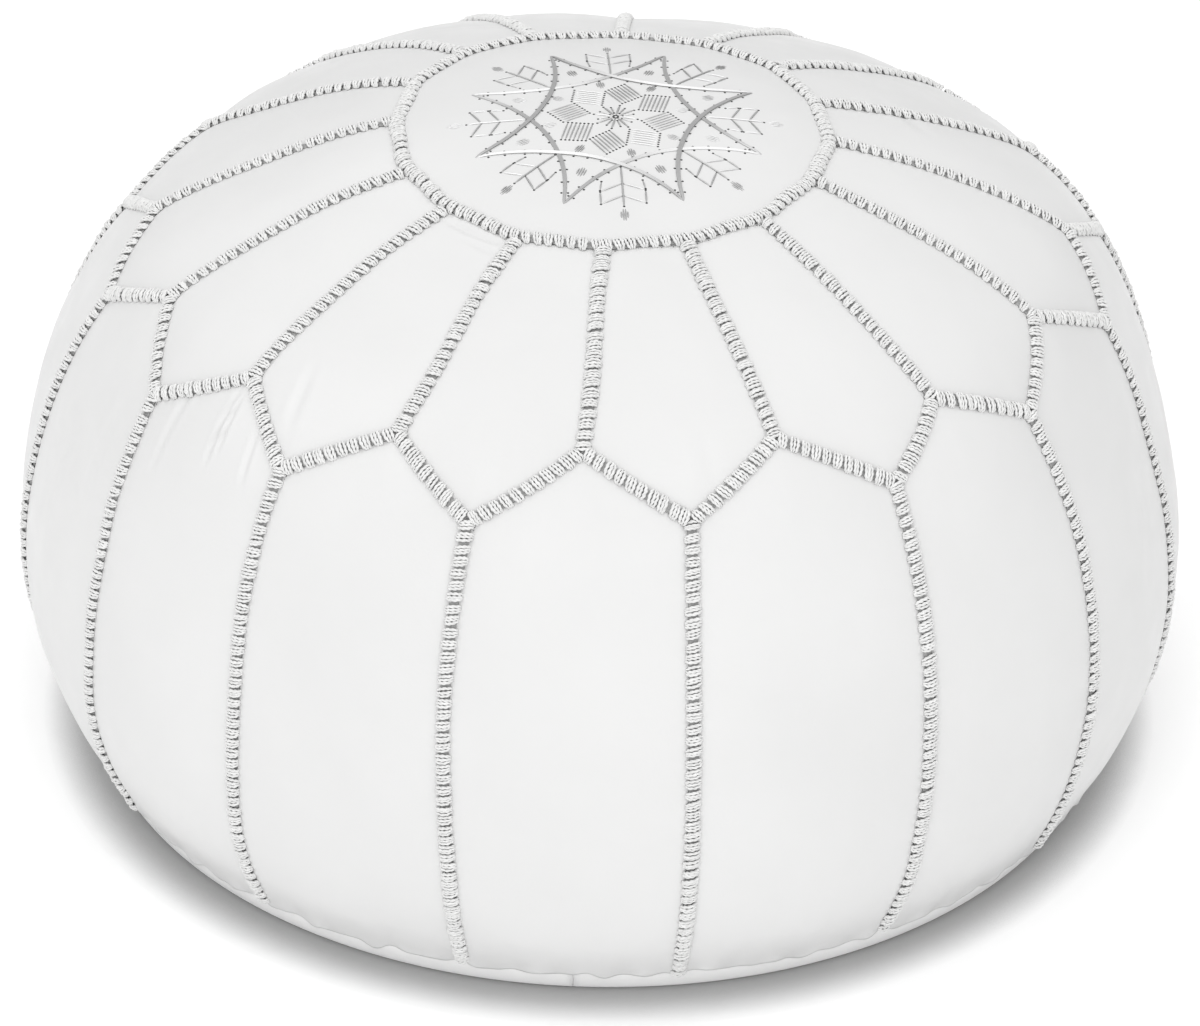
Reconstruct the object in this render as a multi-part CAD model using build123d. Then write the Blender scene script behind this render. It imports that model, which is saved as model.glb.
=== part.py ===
"""Round stuffed leather pouf: sixteen-panel cover, cord-stitched seams, zip in the base.

Millimetres, +Z up, origin on the floor under the middle. The skin follows one
half outline made of tangent arcs; every point on it is named by the direction
the skin faces there (90 degrees on the crown, 0 at the widest, -90 underneath)
and by its depth below the outer face.
"""
import os
from math import asin, atan2, cos, degrees, hypot, radians, sin, sqrt

from build123d import *

# ---- overall shape ----
HEIGHT = 323.0
WIDEST_R = 280.0
WIDEST_Z = 108.0
CROWN_R = 450.0
SHOULDER_R = 90.0
SIDE_R = 240.0
LOWER_R = 196.0
ROLL_R = 12.0

# ---- panels and seams ----
PANELS = 16
PITCH = 360.0 / PANELS
LEATHER = 1.5
SEAM_GAP = 1.0
RING_R = 105.0
UPPER_CORNER_R = 218.0
LOWER_CORNER_R = 239.0
BASE_SEAM_Z = 13.0
ZIGZAG_AXIS_Z = 32.0

# ---- stitched cord over each seam ----
CORD_WIDTH = 7.0
CORD_HEIGHT = 4.0
CORD_LIFT = 0.15
CORD_ROUND = 2.6
THREAD_R = 0.45

# ---- zip trough in the base ----
SLOT_HALF = 8.0
LEDGE_HALF = 19.0
LEDGE_RISE = 8.0
TROUGH_BEND = 5.0
TROUGH_STRAIGHT = 170.0

# ---- zip ----
TAPE_INNER = 3.05
TAPE_OUTER = 20.0
TAPE_THICK = 0.6
TAPE_HALF_LENGTH = 187.0
COIL_FIRST_Y = -173.5
COIL_LAST_Y = 159.0
COIL_PITCH = 3.0
COIL_TOOTH = 1.3
COIL_LOW_Z = 8.75
COIL_HIGH_Z = 10.95
SLIDER_Y = 163.0
SLIDER_LENGTH = 14.0
SLIDER_WIDTH = 10.0
PIVOT_Z = 6.2
TAB_LENGTH = 24.0
TAB_WIDTH = 6.0
TAB_THICK = 1.2
TAB_DROOP = 10.0

# ---- stuffing ----
LINER_DEPTH = 1.8
LINER_THICK = 0.8
FILL_DEPTH = 2.9
GROOVE_HALF = 29.5
GROOVE_TOP = 13.2

# ---- embroidery on the round top piece ----
STAR_TIP_R = 75.0
STAR_WAIST_R = 37.5
STAR_RIBBON = 2.2
FEATHER_FROM = 44.0
FEATHER_TO = 76.0
LEAF_TIP_R = 88.0
PETAL_R = 24.0
PETAL_SIZE = 13.0
STROKE = 1.0
STITCH_HEIGHT = 0.6


def circles_meet(centre_a, radius_a, centre_b, radius_b):
    """Outer crossing point of two circles in the half-outline plane."""
    dr = centre_b[0] - centre_a[0]
    dz = centre_b[1] - centre_a[1]
    gap = hypot(dr, dz)
    along = (gap**2 + radius_a**2 - radius_b**2) / (2 * gap)
    across = sqrt(radius_a**2 - along**2)
    ur, uz = dr / gap, dz / gap
    return (centre_a[0] + ur * along + uz * across, centre_a[1] + uz * along - ur * across)


class Outline:
    """Half outline of the cover, as arcs ordered from the crown to the floor."""

    def __init__(self):
        crown = (0.0, HEIGHT - CROWN_R)
        side = (WIDEST_R - SIDE_R, WIDEST_Z)
        lower = (WIDEST_R - LOWER_R, WIDEST_Z)
        shoulder = circles_meet(crown, CROWN_R - SHOULDER_R, side, SIDE_R - SHOULDER_R)
        crown_end = degrees(atan2(shoulder[1] - crown[1], shoulder[0] - crown[0]))
        side_start = degrees(atan2(shoulder[1] - side[1], shoulder[0] - side[0]))
        tuck = -degrees(asin((WIDEST_Z - ROLL_R) / (LOWER_R - ROLL_R)))
        roll = (lower[0] + (LOWER_R - ROLL_R) * cos(radians(tuck)), ROLL_R)
        self.roll_centre_r = roll[0]
        self.arcs = [
            (crown, CROWN_R, 90.0, crown_end),
            (shoulder, SHOULDER_R, crown_end, side_start),
            (side, SIDE_R, side_start, 0.0),
            (lower, LOWER_R, 0.0, tuck),
            (roll, ROLL_R, tuck, -90.0),
        ]

    def arc_facing(self, facing):
        """The arc whose skin faces the given direction."""
        for arc in self.arcs:
            if facing >= arc[3] - 1e-9:
                return arc
        return self.arcs[-1]

    def on_arc(self, arc, facing, depth=0.0, turn=0.0):
        """Point on one arc, lowered by depth and turned round the axis."""
        (centre_r, centre_z), radius = arc[0], arc[1]
        r = centre_r + (radius - depth) * cos(radians(facing))
        z = centre_z + (radius - depth) * sin(radians(facing))
        return Vector(r * cos(radians(turn)), r * sin(radians(turn)), z)

    def point(self, facing, depth=0.0, turn=0.0):
        """Point on the skin, lowered by depth and turned round the axis."""
        return self.on_arc(self.arc_facing(facing), facing, depth, turn)

    def facing_at_radius(self, wanted):
        """Direction the upper skin faces at a distance from the axis."""
        high, low = 90.0, 0.0
        for _ in range(60):
            middle = (high + low) / 2
            if self.point(middle).X < wanted:
                high = middle
            else:
                low = middle
        return (high + low) / 2

    def facing_at_height(self, wanted):
        """Direction the lower side skin faces at a height."""
        centre, radius = self.arcs[3][0], self.arcs[3][1]
        return degrees(asin((wanted - centre[1]) / radius))

    def path(self, start, end, depth=0.0):
        """Edges along the skin from one facing down to another."""
        edges = []
        for arc in self.arcs:
            first = min(start, arc[2])
            last = max(end, arc[3])
            if first - last > 1e-6:
                places = [self.on_arc(arc, facing, depth)
                          for facing in (first, (first + last) / 2, last)]
                edges.append(ThreePointArc(*places))
        return edges

    def strip(self, start, end, outer, inner):
        """Closed section between two depths and two facings."""
        outside = self.path(start, end, outer)
        inside = self.path(start, end, inner)
        caps = [Line(outside[0] @ 0, inside[0] @ 0), Line(outside[-1] @ 1, inside[-1] @ 1)]
        return make_face(outside + inside + caps)

    def lump(self, depth):
        """Solid filling the whole outline below a depth."""
        skin = self.path(90.0, -90.0, depth)
        foot = Line(skin[-1] @ 1, (0, 0, depth))
        post = Line((0, 0, depth), skin[0] @ 0)
        return revolve(make_face(skin + [foot, post]), axis=Axis.Z)


OUTLINE = Outline()
RING_FACING = OUTLINE.facing_at_radius(RING_R)
UPPER_FACING = OUTLINE.facing_at_radius(UPPER_CORNER_R)
LOWER_FACING = OUTLINE.facing_at_radius(LOWER_CORNER_R)
BASE_FACING = OUTLINE.facing_at_height(BASE_SEAM_Z)


def degrees_along(length, facing):
    """Facing change that walks a length along the skin."""
    return degrees(length / OUTLINE.arc_facing(facing)[1])


def turned(shape, angle):
    """Copy of a shape turned round the vertical axis."""
    return Rot(0, 0, angle) * shape


def swept_sector(section, half_angle, centre=0.0):
    """Section revolved through a sector centred on an angle."""
    return turned(revolve(section, axis=Axis.Z, revolution_arc=2 * half_angle), centre - half_angle)


def only_solid(shape):
    """Largest solid of a result."""
    return max(shape.solids(), key=lambda solid: solid.volume)


def zigzag_plane(upper_turn, lower_turn):
    """Plane of one zigzag seam run, x along the run from the upper to the lower corner."""
    upper = OUTLINE.point(UPPER_FACING, 0, upper_turn)
    lower = OUTLINE.point(LOWER_FACING, 0, lower_turn)
    along = lower - upper
    inward = Vector(0, 0, ZIGZAG_AXIS_Z) - upper
    return Plane(origin=upper, x_dir=along, z_dir=along.cross(inward))


def keep_side(shape, plane, inside_point):
    """Part of a shape on the same side of a plane as a point, less half a seam gap."""
    inward = 1 if (inside_point - plane.origin).dot(plane.z_dir) > 0 else -1
    return only_solid(split(shape, bisect_by=plane.offset(inward * SEAM_GAP / 2),
                            keep=Keep.TOP if inward > 0 else Keep.BOTTOM))


def radial_plane(turn):
    """Vertical plane through the axis at an angle."""
    side = Vector(-sin(radians(turn)), cos(radians(turn)), 0)
    return Plane(origin=(0, 0, 0), x_dir=(cos(radians(turn)), sin(radians(turn)), 0), z_dir=side)


def upper_panel():
    """Five-sided panel from the top piece down to its point, centred on angle zero."""
    top = RING_FACING - degrees_along(SEAM_GAP / 2, RING_FACING)
    blank = swept_sector(OUTLINE.strip(top, LOWER_FACING - 4, 0, LEATHER), PITCH * 0.7)
    middle = OUTLINE.point((RING_FACING + UPPER_FACING) / 2)
    for side in (-1, 1):
        blank = keep_side(blank, radial_plane(side * PITCH / 2), middle)
        blank = keep_side(blank, zigzag_plane(side * PITCH / 2, 0), middle)
    return blank


def lower_panel():
    """Panel from its point at the zigzag down to the base seam, centred on angle zero."""
    bottom = BASE_FACING + degrees_along(SEAM_GAP / 2, BASE_FACING)
    blank = swept_sector(OUTLINE.strip(UPPER_FACING + 6, bottom, 0, LEATHER), PITCH * 0.7)
    middle = OUTLINE.point(0)
    for side in (-1, 1):
        blank = keep_side(blank, radial_plane(side * PITCH / 2), middle)
        blank = keep_side(blank, zigzag_plane(0, side * PITCH / 2), middle)
    return blank


def medallion():
    """Round top piece inside the stitched ring."""
    edge = RING_FACING + degrees_along(SEAM_GAP / 2, RING_FACING)
    skin = OUTLINE.path(90.0, edge, 0)
    under = OUTLINE.path(90.0, edge, LEATHER)
    caps = [Line(skin[0] @ 0, under[0] @ 0), Line(skin[-1] @ 1, under[-1] @ 1)]
    return revolve(make_face(skin + under + caps), axis=Axis.Z)


def cord_shell(start, end, half_angle, centre=0.0):
    """Layer on top of the skin that the cords are cut from."""
    section = OUTLINE.strip(start, end, -CORD_LIFT - CORD_HEIGHT, -CORD_LIFT)
    return swept_sector(section, half_angle, centre)


def radial_cord(start, end):
    """Cord running down a seam at angle zero between two facings."""
    half_angle = degrees(CORD_WIDTH / RING_R)
    shell = cord_shell(start, end, half_angle)
    slab = Box(700, CORD_WIDTH, 700)
    band = only_solid(shell & slab)
    rails = []
    for edge in band.edges():
        beside = abs(abs((edge @ 0.5).Y) - CORD_WIDTH / 2) < 0.01
        if beside and edge.length > 2 * CORD_HEIGHT:
            rails.append(edge)
    rails.sort(key=lambda edge: edge.length, reverse=True)
    return only_solid(fillet(rails[:2], CORD_ROUND))


def zigzag_cord(side):
    """Cord from the upper corner at angle zero to the lower corner on one side."""
    plane = zigzag_plane(0, side * PITCH / 2)
    upper = OUTLINE.point(UPPER_FACING)
    lower = OUTLINE.point(LOWER_FACING, 0, side * PITCH / 2)
    run = (lower - upper).length
    shell = cord_shell(UPPER_FACING + 8, LOWER_FACING - 4, PITCH, side * PITCH / 4)
    trim = 3.0
    slab = Pos(trim, 0, 0) * Box(run - 2 * trim, 120, CORD_WIDTH,
                                 align=(Align.MIN, Align.CENTER, Align.CENTER))
    band = only_solid(shell & (plane.location * slab))
    rails = []
    for edge in band.edges():
        offset = abs((edge @ 0.5 - plane.origin).dot(plane.z_dir))
        if edge.length > run / 2 and abs(offset - CORD_WIDTH / 2) < 0.01:
            rails.append(edge)
    axis_point = Vector(0, 0, ZIGZAG_AXIS_Z)
    rails.sort(key=lambda edge: (edge @ 0.5 - axis_point).length, reverse=True)
    return only_solid(fillet(rails[:2], CORD_ROUND))


def ring_cord():
    """Cord round the top piece."""
    half = degrees_along(CORD_WIDTH / 2, RING_FACING)
    foot = -CORD_LIFT
    crest = -CORD_LIFT - CORD_HEIGHT
    shoulder = -CORD_LIFT - (CORD_HEIGHT - CORD_ROUND)
    inner = [OUTLINE.point(RING_FACING + half, foot), OUTLINE.point(RING_FACING + half, shoulder)]
    outer = [OUTLINE.point(RING_FACING - half, foot), OUTLINE.point(RING_FACING - half, shoulder)]
    section = make_face([
        Line(inner[0], inner[1]),
        ThreePointArc(inner[1], OUTLINE.point(RING_FACING, crest), outer[1]),
        Line(outer[1], outer[0]),
        ThreePointArc(outer[0], OUTLINE.point(RING_FACING, foot), inner[0]),
    ])
    return revolve(section, axis=Axis.Z)


def upper_cord():
    """Cord from the ring to the zigzag at angle zero."""
    start = RING_FACING - degrees_along(CORD_WIDTH / 2 + 0.6, RING_FACING)
    end = UPPER_FACING + degrees_along(1.5, UPPER_FACING)
    return radial_cord(start, end)


def lower_cord():
    """Cord from the zigzag down to the base seam at angle zero."""
    start = LOWER_FACING - degrees_along(1.5, LOWER_FACING)
    end = BASE_FACING + degrees_along(1.2, BASE_FACING)
    return radial_cord(start, end)


def round_array(shape, first=0.0):
    """Sixteen copies of a shape round the axis."""
    return [turned(shape, first + PITCH * index) for index in range(PANELS)]


def polar(radius, angle):
    """Plan point from a distance and an angle."""
    return (radius * cos(radians(angle)), radius * sin(radians(angle)))


def stroke(start, end, width=STROKE):
    """Straight embroidered line."""
    return trace(Line(start, end), line_width=width)


def patch(radius, angle, length, width, lean=0.0):
    """Filled four-sided patch with its long diagonal pointing outwards."""
    blank = Polygon((length / 2, 0), (0, width / 2), (-length / 2, 0), (0, -width / 2), align=None)
    return Rot(0, 0, angle) * Pos(radius, 0) * Rot(0, 0, lean) * blank


def star_side(angle):
    """Bowed ribbon between two star tips a quarter turn apart."""
    arc = ThreePointArc(polar(STAR_TIP_R, angle - 45), polar(STAR_WAIST_R, angle),
                        polar(STAR_TIP_R, angle + 45))
    return trace(arc, line_width=STAR_RIBBON)


def feather(angle):
    """Stem with two pairs of barbs and a leaf tip."""
    shapes = [stroke(polar(FEATHER_FROM, angle), polar(FEATHER_TO + 1, angle))]
    turn = Rot(0, 0, angle)
    for root in (57.0, 66.0):
        for side in (-1, 1):
            shapes.append(turn * stroke((root, 0), (root + 5.5, side * 11.0)))
    for side in (-1, 1):
        shapes.append(turn * stroke((60.0, side * 10.7), (71.5, side * 10.7)))
    shapes.append(patch((FEATHER_TO + LEAF_TIP_R) / 2, angle, LEAF_TIP_R - FEATHER_TO, 4.6))
    return shapes


def embroidery():
    """Eight-point star with feathers and a rosette, laid on the top piece."""
    pattern = []
    for index in range(8):
        angle = 45.0 * index
        pattern.append(star_side(angle + 22.5))
        pattern += feather(angle)
        pattern.append(stroke(polar(2.0, angle), polar(9.5, angle)))
        leaning = Rot(0, 0, angle - 11.5) * Pos(PETAL_R, 0) * Rot(0, 0, 38)
        pattern.append(leaning * Rectangle(PETAL_SIZE, PETAL_SIZE - 1.5))
        pattern.append(patch(34.5, angle, 7.5, 4.5))
        pattern.append(patch(51.0, angle + 22.5, 9.5, 5.0))
    pattern.append(Circle(2.6))
    flat = Sketch() + pattern
    prism = extrude(Pos(0, 0, HEIGHT - 30) * flat, amount=60)
    lift = 0.05
    reach = RING_FACING + 1.5
    over = OUTLINE.path(90.0, reach, -lift - STITCH_HEIGHT)
    under = OUTLINE.path(90.0, reach, -lift)
    caps = [Line(over[0] @ 0, under[0] @ 0), Line(over[-1] @ 1, under[-1] @ 1)]
    shell = revolve(make_face(over + under + caps), axis=Axis.Z)
    return (shell & prism).solids()


def stadium(half_width, low_z, high_z):
    """Round-ended block over the zip trough."""
    plan = Rot(0, 0, 90) * SlotCenterToCenter(2 * TROUGH_STRAIGHT, 2 * half_width)
    return Pos(0, 0, low_z) * extrude(plan, amount=high_z - low_z)


def trough_bend_angle():
    """Turn of each of the two bends between the floor and the ledge."""
    return degrees(atan2(sqrt(1 - (1 - LEDGE_RISE / (2 * TROUGH_BEND)) ** 2),
                         1 - LEDGE_RISE / (2 * TROUGH_BEND)))


def trough_foot():
    """Distance from the middle line where the trough meets the flat base."""
    return LEDGE_HALF + 2 * TROUGH_BEND * sin(radians(trough_bend_angle()))


def trough_run(offset, start):
    """Edges of the trough section from the flat base to the slot, shifted above mid thickness."""
    turn = trough_bend_angle()
    foot = trough_foot()
    mid = LEATHER / 2
    low_centre = (foot, mid + TROUGH_BEND)
    high_centre = (LEDGE_HALF, mid + LEDGE_RISE - TROUGH_BEND)
    low_radius = TROUGH_BEND - offset
    high_radius = TROUGH_BEND + offset

    def on_low(angle):
        return (low_centre[0] - low_radius * sin(radians(angle)), 0,
                low_centre[1] - low_radius * cos(radians(angle)))

    def on_high(angle):
        return (high_centre[0] + high_radius * sin(radians(angle)), 0,
                high_centre[1] + high_radius * cos(radians(angle)))

    level = high_centre[1] + high_radius
    return [
        ThreePointArc(on_low(0), on_low(turn / 2), on_low(turn)),
        ThreePointArc(on_high(turn), on_high(turn / 2), on_high(0)),
        Line(on_high(0), (start, 0, level)),
    ]


def trough_section(start=SLOT_HALF):
    """Section of the trough wall and ledge on the +x side."""
    over = trough_run(LEATHER / 2, start)
    under = trough_run(-LEATHER / 2, start)
    caps = [Line(over[0] @ 0, under[0] @ 0), Line(over[-1] @ 1, under[-1] @ 1)]
    return make_face(over + under + caps)


def base_disc():
    """Whole base with its rolled rim and the zip trough, before it is split in two."""
    top = BASE_FACING - degrees_along(SEAM_GAP / 2, BASE_FACING)
    outside = OUTLINE.path(top, -90.0, 0)
    inside = OUTLINE.path(top, -90.0, LEATHER)
    section = make_face(outside + inside + [
        Line(outside[0] @ 0, inside[0] @ 0),
        Line(outside[-1] @ 1, (0, 0, 0)),
        Line((0, 0, 0), (0, 0, LEATHER)),
        Line((0, 0, LEATHER), inside[-1] @ 1),
    ])
    disc = revolve(section, axis=Axis.Z) - stadium(trough_foot(), -5, 5)
    wall = trough_section()
    straight = extrude(wall, amount=TROUGH_STRAIGHT, both=True, dir=(0, 1, 0))
    round_end = revolve(wall, axis=Axis.Z, revolution_arc=180)
    end_north = Pos(0, TROUGH_STRAIGHT, 0) * round_end
    end_south = Rot(0, 0, 180) * end_north
    return disc + straight + (Rot(0, 0, 180) * straight) + end_north + end_south


def base_half(disc, side):
    """One half of the base, clear of the middle seam."""
    block = Pos(side * (SEAM_GAP / 2 + 200), 0, 0) * Box(400, 700, 60)
    return only_solid(disc & block)


def closing_seam():
    """Thread closing the base between the zip and the rim, both ends."""
    turn = trough_bend_angle()
    foot = trough_foot()
    mid = LEATHER / 2
    low = (foot, mid + TROUGH_BEND)
    high = (LEDGE_HALF, mid + LEDGE_RISE - TROUGH_BEND)

    def place(r, z):
        return (0, TROUGH_STRAIGHT + r, z)

    def bend(centre, sign, angle):
        return place(centre[0] + sign * TROUGH_BEND * sin(radians(angle)),
                     centre[1] + sign * TROUGH_BEND * cos(radians(angle)))

    start = place(SLOT_HALF + 1.0, mid + LEDGE_RISE)
    rim = OUTLINE.arcs[-1]

    def roll(facing):
        point = OUTLINE.on_arc(rim, facing, mid)
        return (0, point.X, point.Z)

    path = Wire([
        Line(start, bend(high, 1, 0)).edge(),
        ThreePointArc(bend(high, 1, 0), bend(high, 1, turn / 2), bend(high, 1, turn)).edge(),
        ThreePointArc(bend(low, -1, turn), bend(low, -1, turn / 2), bend(low, -1, 0)).edge(),
        Line(bend(low, -1, 0), roll(-90.0)).edge(),
        ThreePointArc(roll(-90.0), roll((rim[2] - 90.0) / 2), roll(rim[2])).edge(),
    ])
    section = Plane(origin=start, z_dir=(0, 1, 0)) * Circle(THREAD_R)
    north = only_solid(sweep(section, path=path))
    return [north, turned(north, 180)]


def base_seam_thread():
    """Thread lying in the seam between the side panels and the base."""
    middle = OUTLINE.point(BASE_FACING, LEATHER / 2)
    section = Plane(origin=middle, z_dir=(0, 1, 0)) * Circle(THREAD_R)
    return revolve(section, axis=Axis.Z)


def zip_tape(side):
    """Woven tape on one side of the zip."""
    middle = (TAPE_INNER + TAPE_OUTER) / 2
    low = LEATHER + LEDGE_RISE + 0.05
    tape = Box(TAPE_OUTER - TAPE_INNER, 2 * TAPE_HALF_LENGTH, TAPE_THICK,
               align=(Align.CENTER, Align.CENTER, Align.MIN))
    return Pos(side * middle, 0, low) * tape


def zip_coil(side):
    """Row of interlocking teeth on one side, joined by a spine beside the tape."""
    spine = [(1.4, COIL_FIRST_Y), (3.0, COIL_FIRST_Y), (3.0, COIL_LAST_Y), (1.4, COIL_LAST_Y)]
    points = spine[:3]
    reach = 1.2
    shift = 0.0 if side > 0 else COIL_PITCH / 2
    count = int((COIL_LAST_Y - COIL_FIRST_Y - COIL_PITCH) / COIL_PITCH)
    points.append(spine[3])
    for index in reversed(range(count)):
        low = COIL_FIRST_Y + 0.3 + shift + index * COIL_PITCH
        high = low + COIL_TOOTH
        points += [(1.4, high), (-reach, high), (-reach, low), (1.4, low)]
    points.append(spine[0])
    comb = [(side * x, y) for x, y in points[:-1]] + [(side * spine[0][0], spine[0][1])]
    face = make_face(Polyline(*comb, close=True))
    prism = extrude(face, amount=COIL_HIGH_Z - COIL_LOW_Z, dir=(0, 0, 1))
    return Pos(0, 0, COIL_LOW_Z) * prism


def block(x0, x1, y0, y1, z0, z1):
    """Box between two corners."""
    size = Box(x1 - x0, y1 - y0, z1 - z0)
    return Pos((x0 + x1) / 2, (y0 + y1) / 2, (z0 + z1) / 2) * size


def top_stops():
    """Pair of metal stops at the closed end."""
    stop = block(1.2, 3.0, 172, 176, COIL_LOW_Z - 0.15, COIL_HIGH_Z + 0.15)
    stop = fillet(stop.edges().filter_by(Axis.Z), 0.5)
    return [stop, mirror(stop, about=Plane.YZ)]


def bottom_stop():
    """Metal stop joining both rows at the open end."""
    stop = block(-3.0, 3.0, -176.9, -173.6, COIL_LOW_Z - 0.15, COIL_HIGH_Z + 0.15)
    return fillet(stop.edges().filter_by(Axis.Z), 0.8)


def zip_stitching():
    """Thread holding the tapes to the ledge, seen from below as a long loop."""
    offset = 12.5
    level = LEDGE_RISE - 0.05 - 0.4
    section = Plane(origin=(offset, 0, level), z_dir=(0, 1, 0)) * Circle(0.4)
    straight = extrude(section, amount=TROUGH_STRAIGHT, both=True)
    bend = revolve(section, axis=Axis.Z, revolution_arc=180)
    north = Pos(0, TROUGH_STRAIGHT, 0) * bend
    return only_solid(straight + Rot(0, 0, 180) * straight + north + Rot(0, 0, 180) * north)


def zip_slider():
    """Slider body: two plates, the parting wedge, side guides and the bail."""
    half = SLIDER_LENGTH / 2
    wide = SLIDER_WIDTH / 2
    plan = RectangleRounded(SLIDER_WIDTH, SLIDER_LENGTH, 2.2)
    lower_plate = Pos(0, 0, 7.0) * extrude(plan, amount=1.4)
    upper_plate = Pos(0, 0, 11.3) * extrude(plan, amount=1.2)
    wedge_plan = make_face(Polyline((-1.8, half - 1), (1.8, half - 1), (0, 2.4), close=True))
    wedge = Pos(0, 0, 8.2) * extrude(wedge_plan, amount=3.3)
    body = lower_plate + upper_plate + wedge
    for side in (-1, 1):
        inner, outer = sorted((side * 3.9, side * wide))
        body += block(inner, outer, 2.2 - half, half - 2.2, 8.2, 9.3)
        body += block(inner, outer, 2.2 - half, half - 2.2, 10.4, 11.5)
    for side in (-1, 1):
        near, far = sorted((side * 2.9, side * 4.1))
        body += block(-0.8, 0.8, near, far, 4.4, 7.2)
    body += block(-0.8, 0.8, -4.1, 4.1, 4.4, 5.4)
    return Pos(0, SLIDER_Y, 0) * only_solid(body)


def pull_tab():
    """Pull tab hanging from the bail, lying just above the floor."""
    bar = Rot(0, 90, 0) * Cylinder(0.6, 5.8)
    parts = bar
    for side in (-1, 1):
        inner, outer = sorted((side * 1.4, side * 2.9))
        parts += block(inner, outer, -6.2, 0, -TAB_THICK / 2, TAB_THICK / 2)
    plan = Pos(0, -5.2 - TAB_LENGTH / 2) * RectangleRounded(TAB_WIDTH, TAB_LENGTH, 1.4)
    eye = Pos(0, -5.2 - TAB_LENGTH + 4.2) * Circle(1.3)
    parts += Pos(0, 0, -TAB_THICK / 2) * extrude(plan - eye, amount=TAB_THICK)
    return Pos(0, SLIDER_Y, PIVOT_Z) * Rot(TAB_DROOP, 0, 0) * only_solid(parts)


def liner():
    """Inner bag holding the stuffing, folded over the zip trough."""
    outer = OUTLINE.lump(LINER_DEPTH) - stadium(GROOVE_HALF, 0, GROOVE_TOP)
    inner_depth = LINER_DEPTH + LINER_THICK
    inner = OUTLINE.lump(inner_depth) - stadium(GROOVE_HALF + LINER_THICK, 0,
                                                GROOVE_TOP + LINER_THICK)
    return outer - inner


def filling():
    """Stuffing inside the liner."""
    clear = FILL_DEPTH - LINER_DEPTH
    return OUTLINE.lump(FILL_DEPTH) - stadium(GROOVE_HALF + clear, 0, GROOVE_TOP + clear)


def save(name, shapes):
    """Write one named piece, possibly of several solids."""
    solids = []
    for shape in shapes if isinstance(shapes, list) else [shapes]:
        solids += shape.solids()
    body = solids[0] if len(solids) == 1 else Compound(children=solids)
    export_step(body, f"parts/{name}.step")
    size = body.bounding_box().size
    volume = sum(solid.volume for solid in solids) / 1000
    print(f"{name:22s} {len(solids):3d} solids {volume:9.2f} cm3  "
          f"{size.X:.1f} x {size.Y:.1f} x {size.Z:.1f}")


def main():
    """Build and save every piece."""
    os.makedirs("parts", exist_ok=True)
    front = -90.0
    panel = upper_panel()
    for index in range(PANELS):
        save(f"upper_panel_{index + 1:02d}", turned(panel, front + PITCH * (index + 0.5)))
    panel = lower_panel()
    for index in range(PANELS):
        save(f"lower_panel_{index + 1:02d}", turned(panel, front + PITCH * index))
    save("top_medallion", medallion())
    save("medallion_embroidery", embroidery())
    save("ring_braid", ring_cord())
    save("upper_seam_braids", round_array(upper_cord()))
    save("zigzag_braids", round_array(zigzag_cord(1)) + round_array(zigzag_cord(-1)))
    save("lower_seam_braids", round_array(lower_cord(), PITCH / 2))
    save("base_seam_thread", base_seam_thread())
    disc = base_disc()
    save("base_left", base_half(disc, -1))
    save("base_right", base_half(disc, 1))
    save("base_closing_seam", closing_seam())
    save("zipper_tape_left", zip_tape(-1))
    save("zipper_tape_right", zip_tape(1))
    save("zipper_coil_left", zip_coil(-1))
    save("zipper_coil_right", zip_coil(1))
    save("zipper_bottom_stop", bottom_stop())
    save("zipper_top_stops", top_stops())
    save("zipper_stitching", zip_stitching())
    save("zipper_slider", zip_slider())
    save("zipper_pull_tab", pull_tab())
    save("inner_liner", liner())
    save("filling", filling())


if __name__ == "__main__":
    main()
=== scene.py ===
"""Looks of a stuffed leather pouf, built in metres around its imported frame.

The cover is described once, as a smooth half outline turned round the vertical
axis with gentle lumps of hand stuffing on top. Panels, stitched seams and
embroidery are all laid on that one skin, so they stay together.
"""

import logging
import math
from dataclasses import dataclass, field
from enum import Enum
from typing import Callable

import bpy
import numpy as np
from mathutils import Matrix, Vector

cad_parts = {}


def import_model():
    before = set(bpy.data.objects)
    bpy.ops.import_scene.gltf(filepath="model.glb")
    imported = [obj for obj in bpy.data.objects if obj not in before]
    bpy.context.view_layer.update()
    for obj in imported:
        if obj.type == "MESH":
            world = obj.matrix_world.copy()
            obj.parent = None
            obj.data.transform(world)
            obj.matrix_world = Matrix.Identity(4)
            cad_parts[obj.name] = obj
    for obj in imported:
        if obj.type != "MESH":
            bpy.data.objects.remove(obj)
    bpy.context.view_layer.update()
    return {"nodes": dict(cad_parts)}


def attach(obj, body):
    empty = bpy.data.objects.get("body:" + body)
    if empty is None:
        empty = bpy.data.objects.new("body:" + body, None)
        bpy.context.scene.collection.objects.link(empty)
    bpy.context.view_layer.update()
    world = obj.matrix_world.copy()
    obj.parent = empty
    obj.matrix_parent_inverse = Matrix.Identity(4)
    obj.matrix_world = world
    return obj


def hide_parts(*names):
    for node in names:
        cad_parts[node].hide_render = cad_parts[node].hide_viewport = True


Array = np.ndarray
MM = 0.001
PANELS = 16
PITCH = 2 * math.pi / PANELS
FRONT = -math.pi / 2
LOG = logging.getLogger("pouf")


# --------------------------------------------------------------------------
# Small numeric helpers
# --------------------------------------------------------------------------
def smoothstep(low: float, high: float, value: Array) -> Array:
    """Smooth rise between two values.

    Args:
        low: Value where the rise starts.
        high: Value where it ends.
        value: Values to place on the rise.

    Returns:
        0 below low, 1 above high, and smooth between.
    """
    t = np.clip((value - low) / (high - low), 0.0, 1.0)
    return t * t * (3.0 - 2.0 * t)


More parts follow.
